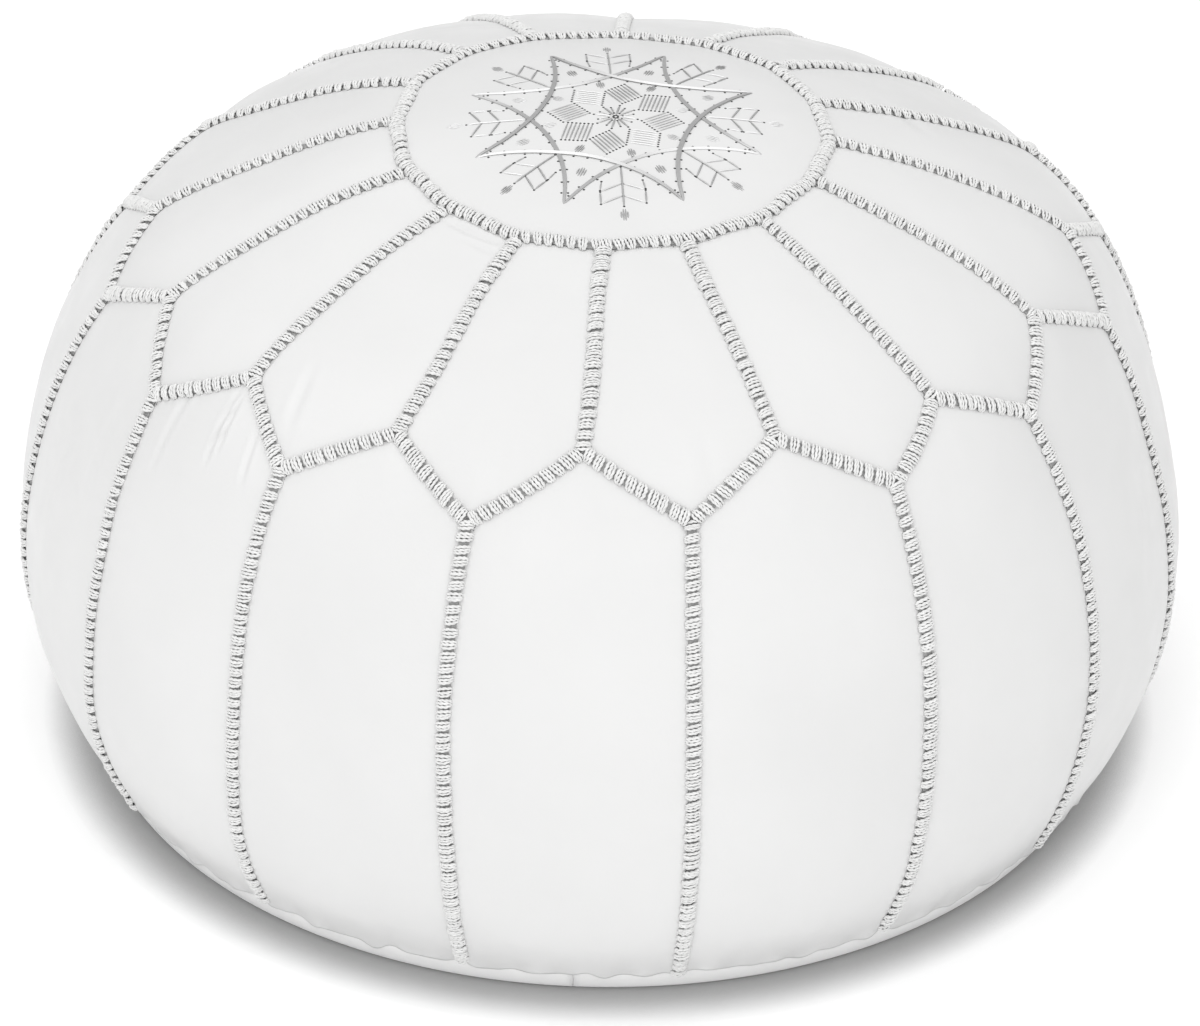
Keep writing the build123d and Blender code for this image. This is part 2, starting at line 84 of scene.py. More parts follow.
def unit(vectors: Array) -> Array:
    """Vectors scaled to length one along the last axis."""
    length = np.linalg.norm(vectors, axis=-1, keepdims=True)
    return vectors / np.maximum(length, 1e-12)


def crowded(count: int, share: float) -> Array:
    """Values from 0 to 1 that crowd towards both ends.

    Args:
        count: Number of values.
        share: 0 for even steps, towards 1 for more crowding.

    Returns:
        The values in rising order.
    """
    t = np.linspace(0.0, 1.0, count)
    return (1.0 - share) * t + share * 0.5 * (1.0 - np.cos(math.pi * t))


class Ripples:
    """Seamless, repeatable unevenness made of plane waves through space."""

    def __init__(self, seed: int, shortest: float, longest: float, waves: int = 9) -> None:
        """Draws the waves.

        Args:
            seed: Seed of their directions, lengths and phases.
            shortest: Shortest wave length in metres.
            longest: Longest wave length in metres.
            waves: Number of waves.
        """
        draw = np.random.default_rng(seed)
        length = np.exp(draw.uniform(math.log(shortest), math.log(longest), waves))
        self.vectors = unit(draw.normal(size=(waves, 3))) * (2 * math.pi / length)[:, None]
        self.phases = draw.uniform(0, 2 * math.pi, waves)

    def at(self, points: Array) -> Array:
        """Value from about -1 to 1 at each point."""
        total = np.sin(points @ self.vectors.T + self.phases).sum(axis=-1)
        return total / math.sqrt(len(self.phases))


# --------------------------------------------------------------------------
# Meshes
# --------------------------------------------------------------------------
@dataclass
class Shell:
    """Vertices and faces gathered before they become one mesh."""

    points: list[Array] = field(default_factory=list)
    quads: list[Array] = field(default_factory=list)
    triangles: list[Array] = field(default_factory=list)
    count: int = 0

    def add(self, points: Array, quads: Array | None = None, triangles: Array | None = None) -> None:
        """Adds vertices with faces that index them.

        Args:
            points: Vertices, with a last axis of three.
            quads: Faces with four corners.
            triangles: Faces with three corners.
        """
        first = self.count
        self.points.append(points.reshape(-1, 3))
        self.count += len(self.points[-1])
        if quads is not None and len(quads):
            self.quads.append(quads.reshape(-1, 4) + first)
        if triangles is not None and len(triangles):
            self.triangles.append(triangles.reshape(-1, 3) + first)

    def build(self, name: str) -> bpy.types.Object:
        """Makes a smooth-shaded object in the scene.

        Args:
            name: Name of the piece.

        Returns:
            The new object.
        """
        points = np.concatenate(self.points)
        quads = np.concatenate(self.quads) if self.quads else np.zeros((0, 4), int)
        triangles = np.concatenate(self.triangles) if self.triangles else np.zeros((0, 3), int)
        corners = np.concatenate([quads.ravel(), triangles.ravel()]).astype(np.int32)
        sizes = np.concatenate([np.full(len(quads), 4), np.full(len(triangles), 3)])
        starts = np.concatenate([[0], np.cumsum(sizes)[:-1]]).astype(np.int32)
        mesh = bpy.data.meshes.new(name)
        mesh.vertices.add(len(points))
        mesh.vertices.foreach_set("co", points.astype(np.float32).ravel())
        mesh.loops.add(len(corners))
        mesh.loops.foreach_set("vertex_index", corners)
        mesh.polygons.add(len(sizes))
        mesh.polygons.foreach_set("loop_start", starts)
        mesh.polygons.foreach_set("use_smooth", np.ones(len(sizes), bool))
        mesh.update(calc_edges=True)
        mesh.validate()
        piece = bpy.data.objects.new(name, mesh)
        bpy.context.scene.collection.objects.link(piece)
        return piece


def grid_faces(rows: int, columns: int, wrap_columns: bool = False, flip: bool = False) -> Array:
    """Quads of a grid of vertices stored row by row.

    Args:
        rows: Number of vertex rows.
        columns: Number of vertices in a row.
        wrap_columns: Joins the last column to the first.
        flip: Turns the faces over.

    Returns:
        An array of four indices per face.
    """
    i = np.arange(rows - 1)[:, None]
    j = np.arange(columns if wrap_columns else columns - 1)[None, :]
    down, right = i + 1, (j + 1) % columns
    quads = np.stack([i * columns + j, down * columns + j,
                      down * columns + right, i * columns + right], axis=-1)
    quads = quads.reshape(-1, 4)
    return quads[:, ::-1] if flip else quads


def grid_normals(points: Array) -> Array:
    """Outward unit normals of a grid of points.

    Args:
        points: Grid with rows running down and columns round.

    Returns:
        Normals of the same form.
    """
    down = np.gradient(points, axis=0)
    across = np.gradient(points, axis=1)
    return unit(np.cross(down, across))


def tube_faces(rings: int, sides: int) -> tuple[Array, Array]:
    """Faces of one closed tube: rings of vertices, then two cap points.

    Args:
        rings: Number of rings.
        sides: Number of vertices in a ring.

    Returns:
        The quads of the wall and the triangles of both caps.
    """
    wall = grid_faces(rings, sides, wrap_columns=True)
    around = np.arange(sides)
    after = (around + 1) % sides
    first, last = rings * sides, rings * sides + 1
    near = np.stack([np.full(sides, first), around, after], axis=-1)
    base = (rings - 1) * sides
    far = np.stack([np.full(sides, last), base + after, base + around], axis=-1)
    return wall, np.concatenate([near, far])


def many_tubes(centres: Array, side_a: Array, side_b: Array, radius_a: Array,
               radius_b: Array) -> tuple[Array, Array, Array]:
    """Vertices and faces of many tubes at once.

    Args:
        centres: Centre line points, tubes by rings by 3.
        side_a: First cross-section direction at each ring.
        side_b: Second cross-section direction at each ring.
        radius_a: Offsets along the first direction, tubes by rings by sides.
        radius_b: Offsets along the second direction, of the same form.

    Returns:
        Vertices, quads and triangles, with indices from zero.
    """
    tubes, rings, sides = radius_a.shape
    walls = (centres[:, :, None] + side_a[:, :, None] * radius_a[..., None]
             + side_b[:, :, None] * radius_b[..., None])
    points = np.concatenate([walls.reshape(tubes, rings * sides, 3),
                             centres[:, :1], centres[:, -1:]], axis=1)
    wall, caps = tube_faces(rings, sides)
    step = (np.arange(tubes) * points.shape[1])[:, None, None]
    return points, (wall[None] + step).reshape(-1, 4), (caps[None] + step).reshape(-1, 3)


# --------------------------------------------------------------------------
# The skin that everything lies on
# --------------------------------------------------------------------------
@dataclass(frozen=True)
class Outline:
    """Half outline of the cover: tangent arcs from the crown down to the base."""

    height: float = 323 * MM
    widest_r: float = 280 * MM
    widest_z: float = 108 * MM
    crown: float = 450 * MM
    shoulder: float = 90 * MM
    side: float = 240 * MM
    lower: float = 196 * MM
    roll: float = 12 * MM

    def arcs(self) -> Array:
        """Works out the arcs from the outline's sizes.

        Returns:
            A row for each: centre's radius and height, radius, first and last facing, first run.
        """
        top = (0.0, self.height - self.crown)
        side = (self.widest_r - self.side, self.widest_z)
        low = (self.widest_r - self.lower, self.widest_z)
        reach_a, reach_b = self.crown - self.shoulder, self.side - self.shoulder
        dr, dz = side[0] - top[0], side[1] - top[1]
        gap = math.hypot(dr, dz)
        along = (gap**2 + reach_a**2 - reach_b**2) / (2 * gap)
        across = math.sqrt(reach_a**2 - along**2)
        knee = (top[0] + (dr * along + dz * across) / gap,
                top[1] + (dz * along - dr * across) / gap)
        first = math.atan2(knee[1] - top[1], knee[0] - top[0])
        second = math.atan2(knee[1] - side[1], knee[0] - side[0])
        tuck = -math.asin((self.widest_z - self.roll) / (self.lower - self.roll))
        foot = (low[0] + (self.lower - self.roll) * math.cos(tuck), self.roll)
        rows, run = [], 0.0
        for centre, radius, start, end in (
            (top, self.crown, math.pi / 2, first),
            (knee, self.shoulder, first, second),
            (side, self.side, second, 0.0),
            (low, self.lower, 0.0, tuck),
            (foot, self.roll, tuck, -math.pi / 2),
        ):
            rows.append([centre[0], centre[1], radius, start, end, run])
            run += radius * (start - end)
        return np.array(rows)


@dataclass
class Skin:
    """Outer face of the stuffed cover, addressed by turn (radians) and run (metres from the crown)."""

    outline: Outline
    lean: float = 0.8 * MM
    back_rise: float = 2.2 * MM
    back_start: float = 20 * MM
    back_end: float = 180 * MM
    swell_height: float = 1.9 * MM
    dent_height: float = 0.28 * MM
    calm_reach: float = 70 * MM
    base_height: float = 13.0 * MM

    def __post_init__(self) -> None:
        """Works out the arcs and draws the gentle lumps."""
        self.arcs = self.outline.arcs()
        self.swell = Ripples(11, 150 * MM, 330 * MM, 7)
        self.dents = Ripples(12, 45 * MM, 90 * MM, 10)
        self.base_run = self.run_at_height(self.base_height)

    def station(self, run: Array) -> tuple[Array, Array, Array]:
        """Places on the plain outline.

        Args:
            run: Distances down from the crown.

        Returns:
            The radius, the height and the facing at each.
        """
        run = np.asarray(run, float)
        which = np.clip(np.searchsorted(self.arcs[:, 5], run, side="right") - 1, 0, 4)
        centre_r, centre_z, radius, start, _, first = np.moveaxis(self.arcs[which], -1, 0)
        facing = start - (run - first) / radius
        return centre_r + radius * np.cos(facing), centre_z + radius * np.sin(facing), facing

    def run_at_radius(self, wanted: float) -> float:
        """Run on the upper half where the outline reaches a radius."""
        runs = np.linspace(0.0, self.arcs[3, 5], 20001)
        return float(np.interp(wanted, self.station(runs)[0], runs))

    def run_at_height(self, wanted: float) -> float:
        """Run on the lower half where the outline comes down to a height."""
        arc = self.arcs[3]
        return float(arc[5] - arc[2] * math.asin((wanted - arc[1]) / arc[2]))

    def run_on_crown(self, radius: Array) -> Array:
        """Run of a point on the crown from its plan distance."""
        return self.outline.crown * np.arcsin(radius / self.outline.crown)

    def point(self, turn: Array, run: Array, lift: Array | float = 0.0) -> Array:
        """Point above the skin.

        Args:
            turn: Angle round the axis.
            run: Distance down from the crown.
            lift: Height above the skin.

        Returns:
            Positions, with a last axis of three.
        """
        radius, height, facing = self.station(run)
        turn = np.broadcast_to(turn, radius.shape)
        around = np.stack([np.cos(turn), np.sin(turn)], axis=-1)
        plain = np.concatenate([around * radius[..., None], height[..., None]], axis=-1)
        outward = np.concatenate([around * np.cos(facing)[..., None],
                                  np.sin(facing)[..., None]], axis=-1)
        free = smoothstep(0.0, self.calm_reach, self.base_run - run)
        lumps = (self.swell_height * self.swell.at(plain)
                 + self.dent_height * self.dents.at(plain)) * free
        place = plain + outward * (lumps + lift)[..., None]
        rise = np.clip(place[..., 2] / self.outline.height, 0.0, 1.0)
        place[..., 0] += self.lean * rise * rise * (3 - 2 * rise)
        place[..., 2] += self.back_rise * rise * smoothstep(
            self.back_start, self.back_end, place[..., 1])
        return place

    def frame(self, turn: Array, run: Array) -> tuple[Array, Array]:
        """Points on the skin with the way it faces.

        Args:
            turn: Angles round the axis.
            run: Distances down from the crown.

        Returns:
            The points and their outward unit normals.
        """
        step = 0.5 * MM
        radius = np.maximum(self.station(run)[0], 5 * MM)
        swing = step / radius
        east = self.point(turn + swing, run) - self.point(turn - swing, run)
        down = self.point(turn, run + step) - self.point(turn, run - step)
        return self.point(turn, run), unit(np.cross(down, east))


# --------------------------------------------------------------------------
# Where the seams run
# --------------------------------------------------------------------------
@dataclass
class SeamPlan:
    """Hand-sewn courses of all seams on the skin, as turn and run pairs."""

    skin: Skin
    ring_radius: float = 105 * MM
    upper_corner: float = 218 * MM
    lower_corner: float = 239 * MM
    foot_radius: float = 250 * MM
    ring_narrow: float = 0.0225
    ring_pull: float = 0.7 * MM
    lower_wander: float = 1.2 * MM
    upper_wander: float = 1.3 * MM
    zigzag_wander: float = 0.8 * MM
    hem_counts: tuple = (89, 57, 137, 23)
    hem_shares: tuple = (0.7, 0.8, 0.35, 0.5)
    hem_scallop: float = 1.25 * MM
    hem_gap: float = 0.6 * MM
    seed: int = 5
    ring_shift: tuple = (1.5, -2.5, -2.5, 2.5, 1, 0, -0.5, -0.5, 0.5, 1.5, 0, -1, -1, 7, 3, 3.5)
    upper_shift: tuple = (-2, -0.5, -4, -4.5, -5, 1, 0, -1, 0.5, 1.5, -2.5, -0.5, 6, 5.5, 4, -0.5)
    upper_drop: tuple = (-3, -4, -1, -5, -6, -2, 0.5, -2, 2, 1, -3, 0.5, -3, -1, 1.5, 1)
    lower_shift: tuple = (1, 4, -1, 1.5, 1, -2, -0.5, -1.5, 2.5, 1, 4, 5, 4, 0.5, -2.5, -4)
    lower_drop: tuple = (-2.5, -3, -5, -4, -3, -0.5, 0, 0.5, 0, -1.5, 1.5, -2, -2.5, 3, 1.5, 2)
    foot_shift: tuple = (-2, -2.5, 1, -2, -2.5, 1, -2.5, -0.5, 0, -1, 0, 2.5, -1, -2.5, -3.5, -0.5)
    lower_bow: tuple = (-1.5, 1.5, 2, 1, 1.5, 1.5, -1, 1.5, 0, 4, -2.5, 0, -1, 3, -0.5, -1)

    def __post_init__(self) -> None:
        """Turns the shifts, in millimetres and anticlockwise from the front, into places."""
        draw = np.random.default_rng(self.seed)
        self.ring_run = self.skin.run_at_radius(self.ring_radius)
        upper_run = self.skin.run_at_radius(self.upper_corner)
        lower_run = self.skin.run_at_radius(self.lower_corner)
        turns = FRONT + PITCH * np.arange(PANELS)
        self.seam_turns = turns + self.swing(self.ring_shift, self.ring_radius)
        self.upper_turns = turns + self.swing(self.upper_shift, self.upper_corner)
        self.upper_runs = upper_run + np.array(self.upper_drop) * MM
        self.lower_turns = turns + PITCH / 2 + self.swing(self.lower_shift, self.lower_corner)
        self.lower_runs = lower_run + np.array(self.lower_drop) * MM
        self.foot_turns = turns + PITCH / 2 + self.swing(self.foot_shift, self.foot_radius)
        self.lower_bows = np.stack([np.array(self.lower_bow) * MM,
                                    draw.normal(0, self.lower_wander, PANELS)], axis=-1)
        self.upper_bows = draw.normal(0, self.upper_wander, (PANELS, 2))
        self.zigzag_bows = draw.normal(0, self.zigzag_wander, (PANELS, 2))
        self.hem_phases = draw.uniform(0, 2 * math.pi, len(self.hem_counts))

    @staticmethod
    def swing(shifts: tuple, radius: float) -> Array:
        """Sideways shifts in millimetres as angles."""
        return np.array(shifts) * MM / radius

    def ring(self, turn: Array) -> Array:
        """Round seam: slightly narrow, and pulled out where other seams meet it.

        Args:
            turn: Angles round the axis.

        Returns:
            Its run at each.
        """
        narrow = -self.ring_narrow * self.ring_run * (1 + np.cos(2 * turn))
        pulled = self.ring_pull * np.cos(PANELS * (turn - FRONT))
        uneven = 0.6 * MM * np.sin(3 * turn + 0.7) + 0.4 * MM * np.sin(7 * turn + 2.0)
        return self.ring_run + narrow + pulled + uneven

    def hem(self, turn: Array) -> Array:
        """Bottom edge of the lower panels, in small scallops.

        Args:
            turn: Angles round the axis.

        Returns:
            Its run at each.
        """
        scallops = sum(np.sin(n * turn + phase) * share for n, phase, share in
                       zip(self.hem_counts, self.hem_phases, self.hem_shares))
        return self.skin.base_run - self.hem_gap + self.hem_scallop * scallops

    @staticmethod
    def bowed(t: Array, bows: Array, radius: Array) -> Array:
        """Sideways wander of a seam as an angle, nought at both ends."""
        return (bows[0] * np.sin(math.pi * t) + 0.5 * bows[1] * np.sin(2 * math.pi * t)) / radius

    def upper(self, index: int, t: Array) -> tuple[Array, Array]:
        """Upper seam from the ring to the zigzag.

        Args:
            index: Number of the seam.
            t: Places along it, 0 to 1.

        Returns:
            Turns and runs.
        """
        k = index % PANELS
        lap = 2 * math.pi * (index // PANELS)
        start = self.ring(np.array(self.seam_turns[k]))
        run = start + (self.upper_runs[k] - start) * t
        turn = self.seam_turns[k] + (self.upper_turns[k] - self.seam_turns[k]) * t
        return turn + lap + self.bowed(t, self.upper_bows[k], self.skin.station(run)[0]), run

    def lower(self, index: int, t: Array) -> tuple[Array, Array]:
        """Lower seam from the zigzag to the base.

        Args:
            index: Number of the seam.
            t: Places along it, 0 to 1.

        Returns:
            Turns and runs.
        """
        k = index % PANELS
        lap = 2 * math.pi * (index // PANELS)
        end = self.hem(np.array(self.foot_turns[k]))
        run = self.lower_runs[k] + (end - self.lower_runs[k]) * t
        turn = self.lower_turns[k] + (self.foot_turns[k] - self.lower_turns[k]) * t
        return turn + lap + self.bowed(t, self.lower_bows[k], self.skin.station(run)[0]), run

    def corner(self, index: int, high: bool) -> tuple[float, float]:
        """Place of a zigzag corner.

        Args:
            index: Number of the corner.
            high: True for those that end the upper seams.

        Returns:
            Its turn and run.
        """
        k = index % PANELS
        lap = 2 * math.pi * (index // PANELS)
        if high:
            return self.upper_turns[k] + lap, self.upper_runs[k]
        return self.lower_turns[k] + lap, self.lower_runs[k]

    def zigzag(self, index: int, falling: bool, t: Array) -> tuple[Array, Array]:
        """Zigzag run in the direction of rising turn.

        Args:
            index: Number of the upper corner it starts from, or of the lower one.
            falling: True from upper corner index to lower corner index, False from
                lower corner index to upper corner index + 1.
            t: Places along it, 0 to 1.

        Returns:
            Turns and runs.
        """
        start = self.corner(index, falling)
        end = self.corner(index if falling else index + 1, not falling)
        bow = self.zigzag_bows[index % PANELS, int(falling)]
        run = start[1] + (end[1] - start[1]) * t + bow * np.sin(math.pi * t)
        return start[0] + (end[0] - start[0]) * t, run


# --------------------------------------------------------------------------
# Finishes
# --------------------------------------------------------------------------
class Nodes:
    """Short way to write a shader tree."""

    def __init__(self, name: str) -> None:
        """Starts an empty material with its principled shader.

        Args:
            name: Name of the material.
        """
        self.material = bpy.data.materials.new(name)
        self.material.use_nodes = True
        self.tree = self.material.node_tree
        self.shader = self.tree.nodes["Principled BSDF"]
        self.space = self.add("ShaderNodeTexCoord").outputs["Object"]

    def add(self, kind: str, **settings: object) -> bpy.types.Node:
        """Adds a node.

        Args:
            kind: Type of the node.
            settings: Properties to set on it.

        Returns:
            The node.
        """
        node = self.tree.nodes.new(kind)
        for key, value in settings.items():
            setattr(node, key, value)
        return node

    def link(self, source: bpy.types.NodeSocket, target: bpy.types.NodeSocket) -> None:
        """Joins two sockets."""
        self.tree.links.new(source, target)

    def noise(self, scale: float, detail: float = 3.0) -> bpy.types.NodeSocket:
        """Noise in object space.

        Args:
            scale: Cells in a metre.
            detail: Number of finer layers.

        Returns:
            A socket with values about 0.5.
        """
        texture = self.add("ShaderNodeTexNoise")
        texture.inputs["Scale"].default_value = scale
        texture.inputs["Detail"].default_value = detail
        self.link(self.space, texture.inputs["Vector"])
        return texture.outputs["Fac"]

    def cells(self, scale: float, feature: str = "F1") -> bpy.types.NodeSocket:
        """Cell pattern in object space.

        Args:
            scale: Cells in a metre.
            feature: Which distance is measured.

        Returns:
            A socket with the distance.
        """
        texture = self.add("ShaderNodeTexVoronoi", feature=feature)
        texture.inputs["Scale"].default_value = scale
        self.link(self.space, texture.inputs["Vector"])
        return texture.outputs["Distance"]

    def openness(self, distance: float) -> bpy.types.NodeSocket:
        """How open the surroundings are.

        Args:
            distance: How far to look, in metres.

        Returns:
            A socket from 0, shut in, to 1.
        """
        node = self.add("ShaderNodeAmbientOcclusion", samples=8)
        node.inputs["Distance"].default_value = distance
        return node.outputs["AO"]

    def times(self, colour: bpy.types.NodeSocket, factor: bpy.types.NodeSocket) -> bpy.types.NodeSocket:
        """Colour darkened by a factor.

        Args:
            colour: Socket of the colour.
            factor: Socket of the factor.

        Returns:
            A socket with the product.
        """
        node = self.add("ShaderNodeMix", data_type="RGBA", blend_type="MULTIPLY")
        node.inputs[0].default_value = 1.0
        self.link(colour, node.inputs[6])
        self.link(factor, node.inputs[7])
        return node.outputs[2]

    def spread(self, source: bpy.types.NodeSocket, low: float, high: float,
               start: float = 0.0, end: float = 1.0) -> bpy.types.NodeSocket:
        """Maps a value to another range, and holds it there.

        Args:
            source: Socket of the value.
            low: Result at start.
            high: Result at end.
            start: Value that gives low.
            end: Value that gives high.

        Returns:
            A socket with the result.
        """
        node = self.add("ShaderNodeMapRange")
        for key, value in (("From Min", start), ("From Max", end), ("To Min", low), ("To Max", high)):
            node.inputs[key].default_value = value
        self.link(source, node.inputs["Value"])
        return node.outputs["Result"]

    def blend(self, factor: bpy.types.NodeSocket, dark: tuple, light: tuple) -> bpy.types.NodeSocket:
        """Colour between two others.

        Args:
            factor: Socket that is 0 for dark and 1 for light.
            dark: First colour.
            light: Second colour.

        Returns:
            A socket with the colour.
        """
        node = self.add("ShaderNodeMix", data_type="RGBA")
        node.inputs[6].default_value = (*dark, 1)
        node.inputs[7].default_value = (*light, 1)
        self.link(factor, node.inputs[0])
        return node.outputs[2]

    def relief(self, layers: list[tuple[bpy.types.NodeSocket, float, float]]) -> None:
        """Stacks bump layers on the shader.

        Args:
            layers: For each, a socket of heights, the strength and the distance in metres.
        """
        before = None
        for height, strength, distance in layers:
            bump = self.add("ShaderNodeBump")
            bump.inputs["Strength"].default_value = strength
            bump.inputs["Distance"].default_value = distance
            self.link(height, bump.inputs["Height"])
            if before is not None:
                self.link(before, bump.inputs["Normal"])
            before = bump.outputs["Normal"]
        self.link(before, self.shader.inputs["Normal"])

    def set(self, **values: object) -> None:
        """Sets plain values on the shader.

        Args:
            values: Values by socket name, with underscores for spaces.
        """
        for key, value in values.items():
            self.shader.inputs[key.replace("_", " ")].default_value = value


@dataclass(frozen=True)
class LeatherFinish:
    """Painted, softly shining leather with a fine grain."""

    name: str
    slot: str
    tone: tuple = (0.735, 0.735, 0.733)
    shade: tuple = (0.700, 0.700, 0.698)
    roughness: tuple = (0.34, 0.50)
    grain: float = 1.0

    def make(self) -> bpy.types.Material:
        """Builds the material.

        Returns:
            The material.
        """
        nodes = Nodes(self.name)
        mottle = nodes.noise(9.0, 4.0)
        colour = nodes.blend(nodes.spread(mottle, 0, 1, 0.3, 0.7), self.shade, self.tone)
        nodes.link(colour, nodes.shader.inputs["Base Color"])
        patches = nodes.noise(55.0, 3.0)
        nodes.link(nodes.spread(patches, *self.roughness, 0.3, 0.7),
                   nodes.shader.inputs["Roughness"])
        pebbles = nodes.cells(720.0, "SMOOTH_F1")
        pores = nodes.noise(1600.0, 2.0)
        folds = nodes.noise(60.0, 4.0)
        nodes.relief([(folds, 0.10 * self.grain, 1.2 * MM),
                      (pebbles, 0.16 * self.grain, 0.16 * MM),
                      (pores, 0.10 * self.grain, 0.08 * MM)])
        nodes.set(Specular_IOR_Level=0.40, Coat_Weight=0.05, Coat_Roughness=0.30)
        return nodes.material


@dataclass(frozen=True)
class ThreadFinish:
    """Twisted thread with fine fibres along and across it. Its colour carries painted shade in crevices
    and pits, and, where set, a painted sheen that follows each thread's heading.
    """

    name: str
    slot: str
    tone: tuple = (0.82, 0.82, 0.815)
    shade: tuple = (0.70, 0.70, 0.695)
    roughness: float = 0.55
    sheen: float = 0.25
    fibres: float = 1.0
    # Darkest share of the painted crevice shade, and how far it looks for nearby thread.
    painted_crevice_shade: float = 0.10
    reach: float = 1.0 * MM
    metallic: float = 0.0
    # Light tone of a painted sheen on threads running along X; 0 leaves it out.
    painted_sheen: float = 0.0

    def make(self) -> bpy.types.Material:
        """Builds the material.

        Returns:
            The material.
        """
        nodes = Nodes(self.name)
        fleck = nodes.noise(420.0, 3.0)
        colour = nodes.blend(nodes.spread(fleck, 0, 1, 0.32, 0.68), self.shade, self.tone)
        # Painted sheen: threads heading along X get the light tone, other headings the dark shade.
        if self.painted_sheen:
            run = nodes.add("ShaderNodeAttribute", attribute_name="across")
            mix = nodes.spread(run.outputs["Fac"], 0, 1, 0.66, 0.97)
            colour = nodes.blend(mix, self.shade, (self.painted_sheen,) * 3)
        # Painted shade: occlusion darkens the colour in the crevices between strands.
        depth = nodes.spread(nodes.openness(self.reach), self.painted_crevice_shade, 1.0, 0.18, 0.72)
        # Painted shade: the pit attribute darkens the welt core and the needle holes, which lie in
        # shade.
        pit = nodes.add("ShaderNodeAttribute", attribute_name="pit").outputs["Fac"]
        pit_shaded_colour = nodes.times(colour, nodes.spread(pit, 1.0, 0.05))
        nodes.link(nodes.times(pit_shaded_colour, depth), nodes.shader.inputs["Base Color"])
        wear = nodes.noise(140.0, 2.0)
        nodes.link(nodes.spread(wear, self.roughness - 0.08, self.roughness + 0.08, 0.3, 0.7),
                   nodes.shader.inputs["Roughness"])
        fluff = nodes.noise(3200.0, 3.0)
        ply = nodes.noise(1300.0, 2.0)
        nodes.relief([(ply, 0.30 * self.fibres, 0.16 * MM), (fluff, 0.22 * self.fibres, 0.06 * MM)])
        nodes.set(Sheen_Weight=self.sheen, Sheen_Roughness=0.5, Specular_IOR_Level=0.4,
                  Metallic=self.metallic)
        return nodes.material


@dataclass(frozen=True)
class WovenFinish:
    """Plain woven cloth."""

    name: str
    slot: str
    tone: tuple = (0.80, 0.80, 0.79)
    shade: tuple = (0.66, 0.66, 0.65)
    threads: float = 1400.0

    def make(self) -> bpy.types.Material:
        """Builds the material.

        Returns:
            The material.
        """
        nodes = Nodes(self.name)
        waves = []
        for direction in ("X", "Y"):
            wave = nodes.add("ShaderNodeTexWave", wave_type="BANDS", bands_direction=direction)
            wave.inputs["Scale"].default_value = self.threads / (2 * math.pi)
            wave.inputs["Distortion"].default_value = 0.6
            nodes.link(nodes.space, wave.inputs["Vector"])
            waves.append(wave.outputs["Fac"])
        weave = nodes.add("ShaderNodeMath", operation="MAXIMUM")
        nodes.link(waves[0], weave.inputs[0])
        nodes.link(waves[1], weave.inputs[1])
        colour = nodes.blend(weave.outputs[0], self.shade, self.tone)
        nodes.link(colour, nodes.shader.inputs["Base Color"])
        nodes.relief([(weave.outputs[0], 0.35, 0.12 * MM), (nodes.noise(900.0), 0.2, 0.1 * MM)])
        nodes.set(Roughness=0.8, Sheen_Weight=0.2, Sheen_Roughness=0.5)
        return nodes.material


@dataclass(frozen=True)
class MetalFinish:
    """Bright cast zip metal with fine wear."""

    name: str
    slot: str
    tone: tuple = (0.72, 0.72, 0.73)
    shade: tuple = (0.55, 0.55, 0.56)

    def make(self) -> bpy.types.Material:
        """Builds the material.

        Returns:
            The material.
        """
        nodes = Nodes(self.name)
        wear = nodes.noise(700.0, 4.0)
        nodes.link(nodes.blend(nodes.spread(wear, 0, 1, 0.3, 0.7), self.shade, self.tone),
                   nodes.shader.inputs["Base Color"])
        nodes.link(nodes.spread(wear, 0.20, 0.38, 0.3, 0.7), nodes.shader.inputs["Roughness"])
        nodes.relief([(nodes.noise(2200.0), 0.15, 0.05 * MM)])
        nodes.set(Metallic=1.0)
        return nodes.material


@dataclass(frozen=True)
class PlasticFinish:
    """Moulded nylon of the zip teeth, or the painted shade inside a needle hole."""

    name: str
    slot: str
    tone: tuple = (0.80, 0.80, 0.79)
    shade: tuple = (0.72, 0.72, 0.71)
    roughness: float = 0.35

    def make(self) -> bpy.types.Material:
        """Builds the material.

        Returns:
            The material.
        """
        nodes = Nodes(self.name)
        cloud = nodes.noise(500.0, 3.0)
        nodes.link(nodes.blend(nodes.spread(cloud, 0, 1, 0.3, 0.7), self.shade, self.tone),
                   nodes.shader.inputs["Base Color"])
        nodes.link(nodes.spread(cloud, self.roughness - 0.05, self.roughness + 0.1, 0.3, 0.7),
                   nodes.shader.inputs["Roughness"])
        nodes.relief([(nodes.noise(1800.0), 0.1, 0.05 * MM)])
        return nodes.material


class Finish(Enum):
    """Every finish on the pouf."""

    COVER = LeatherFinish("painted_leather", "cover leather")
    BASE = LeatherFinish("base_leather", "base leather", tone=(0.97, 0.97, 0.968),
                         shade=(0.95, 0.95, 0.948), roughness=(0.5, 0.62))
    CORD = ThreadFinish("seam_yarn", "seam thread")
    SEWING = ThreadFinish("sewing_yarn", "sewing thread", roughness=0.6)
    # Silk with a painted sheen by thread heading and painted crevice shade.
    SILK = ThreadFinish("embroidery_silk", "embroidery thread", tone=(0.5, 0.5, 0.5),
                        shade=(0.43, 0.43, 0.43), roughness=0.36, sheen=0.0, fibres=0.5,
                        painted_crevice_shade=0.6, metallic=0.45, painted_sheen=0.86)
    # Near-black painted shade for the needle holes of the embroidery.
    HOLE_SHADE = PlasticFinish("painted_hole_shade", "embroidery thread", tone=(0.05, 0.05, 0.05),
                         shade=(0.03, 0.03, 0.03), roughness=0.7)
    TAPE = WovenFinish("zip_tape_weave", "zip tape")
    LINER = WovenFinish("liner_weave", "liner cloth", threads=900.0)
    TEETH = PlasticFinish("zip_nylon", "zip coil")
    METAL = MetalFinish("zip_metal", "zip metal")

    @property
    def slot(self) -> str:
        """Material slot in the record."""
        return self.value.slot


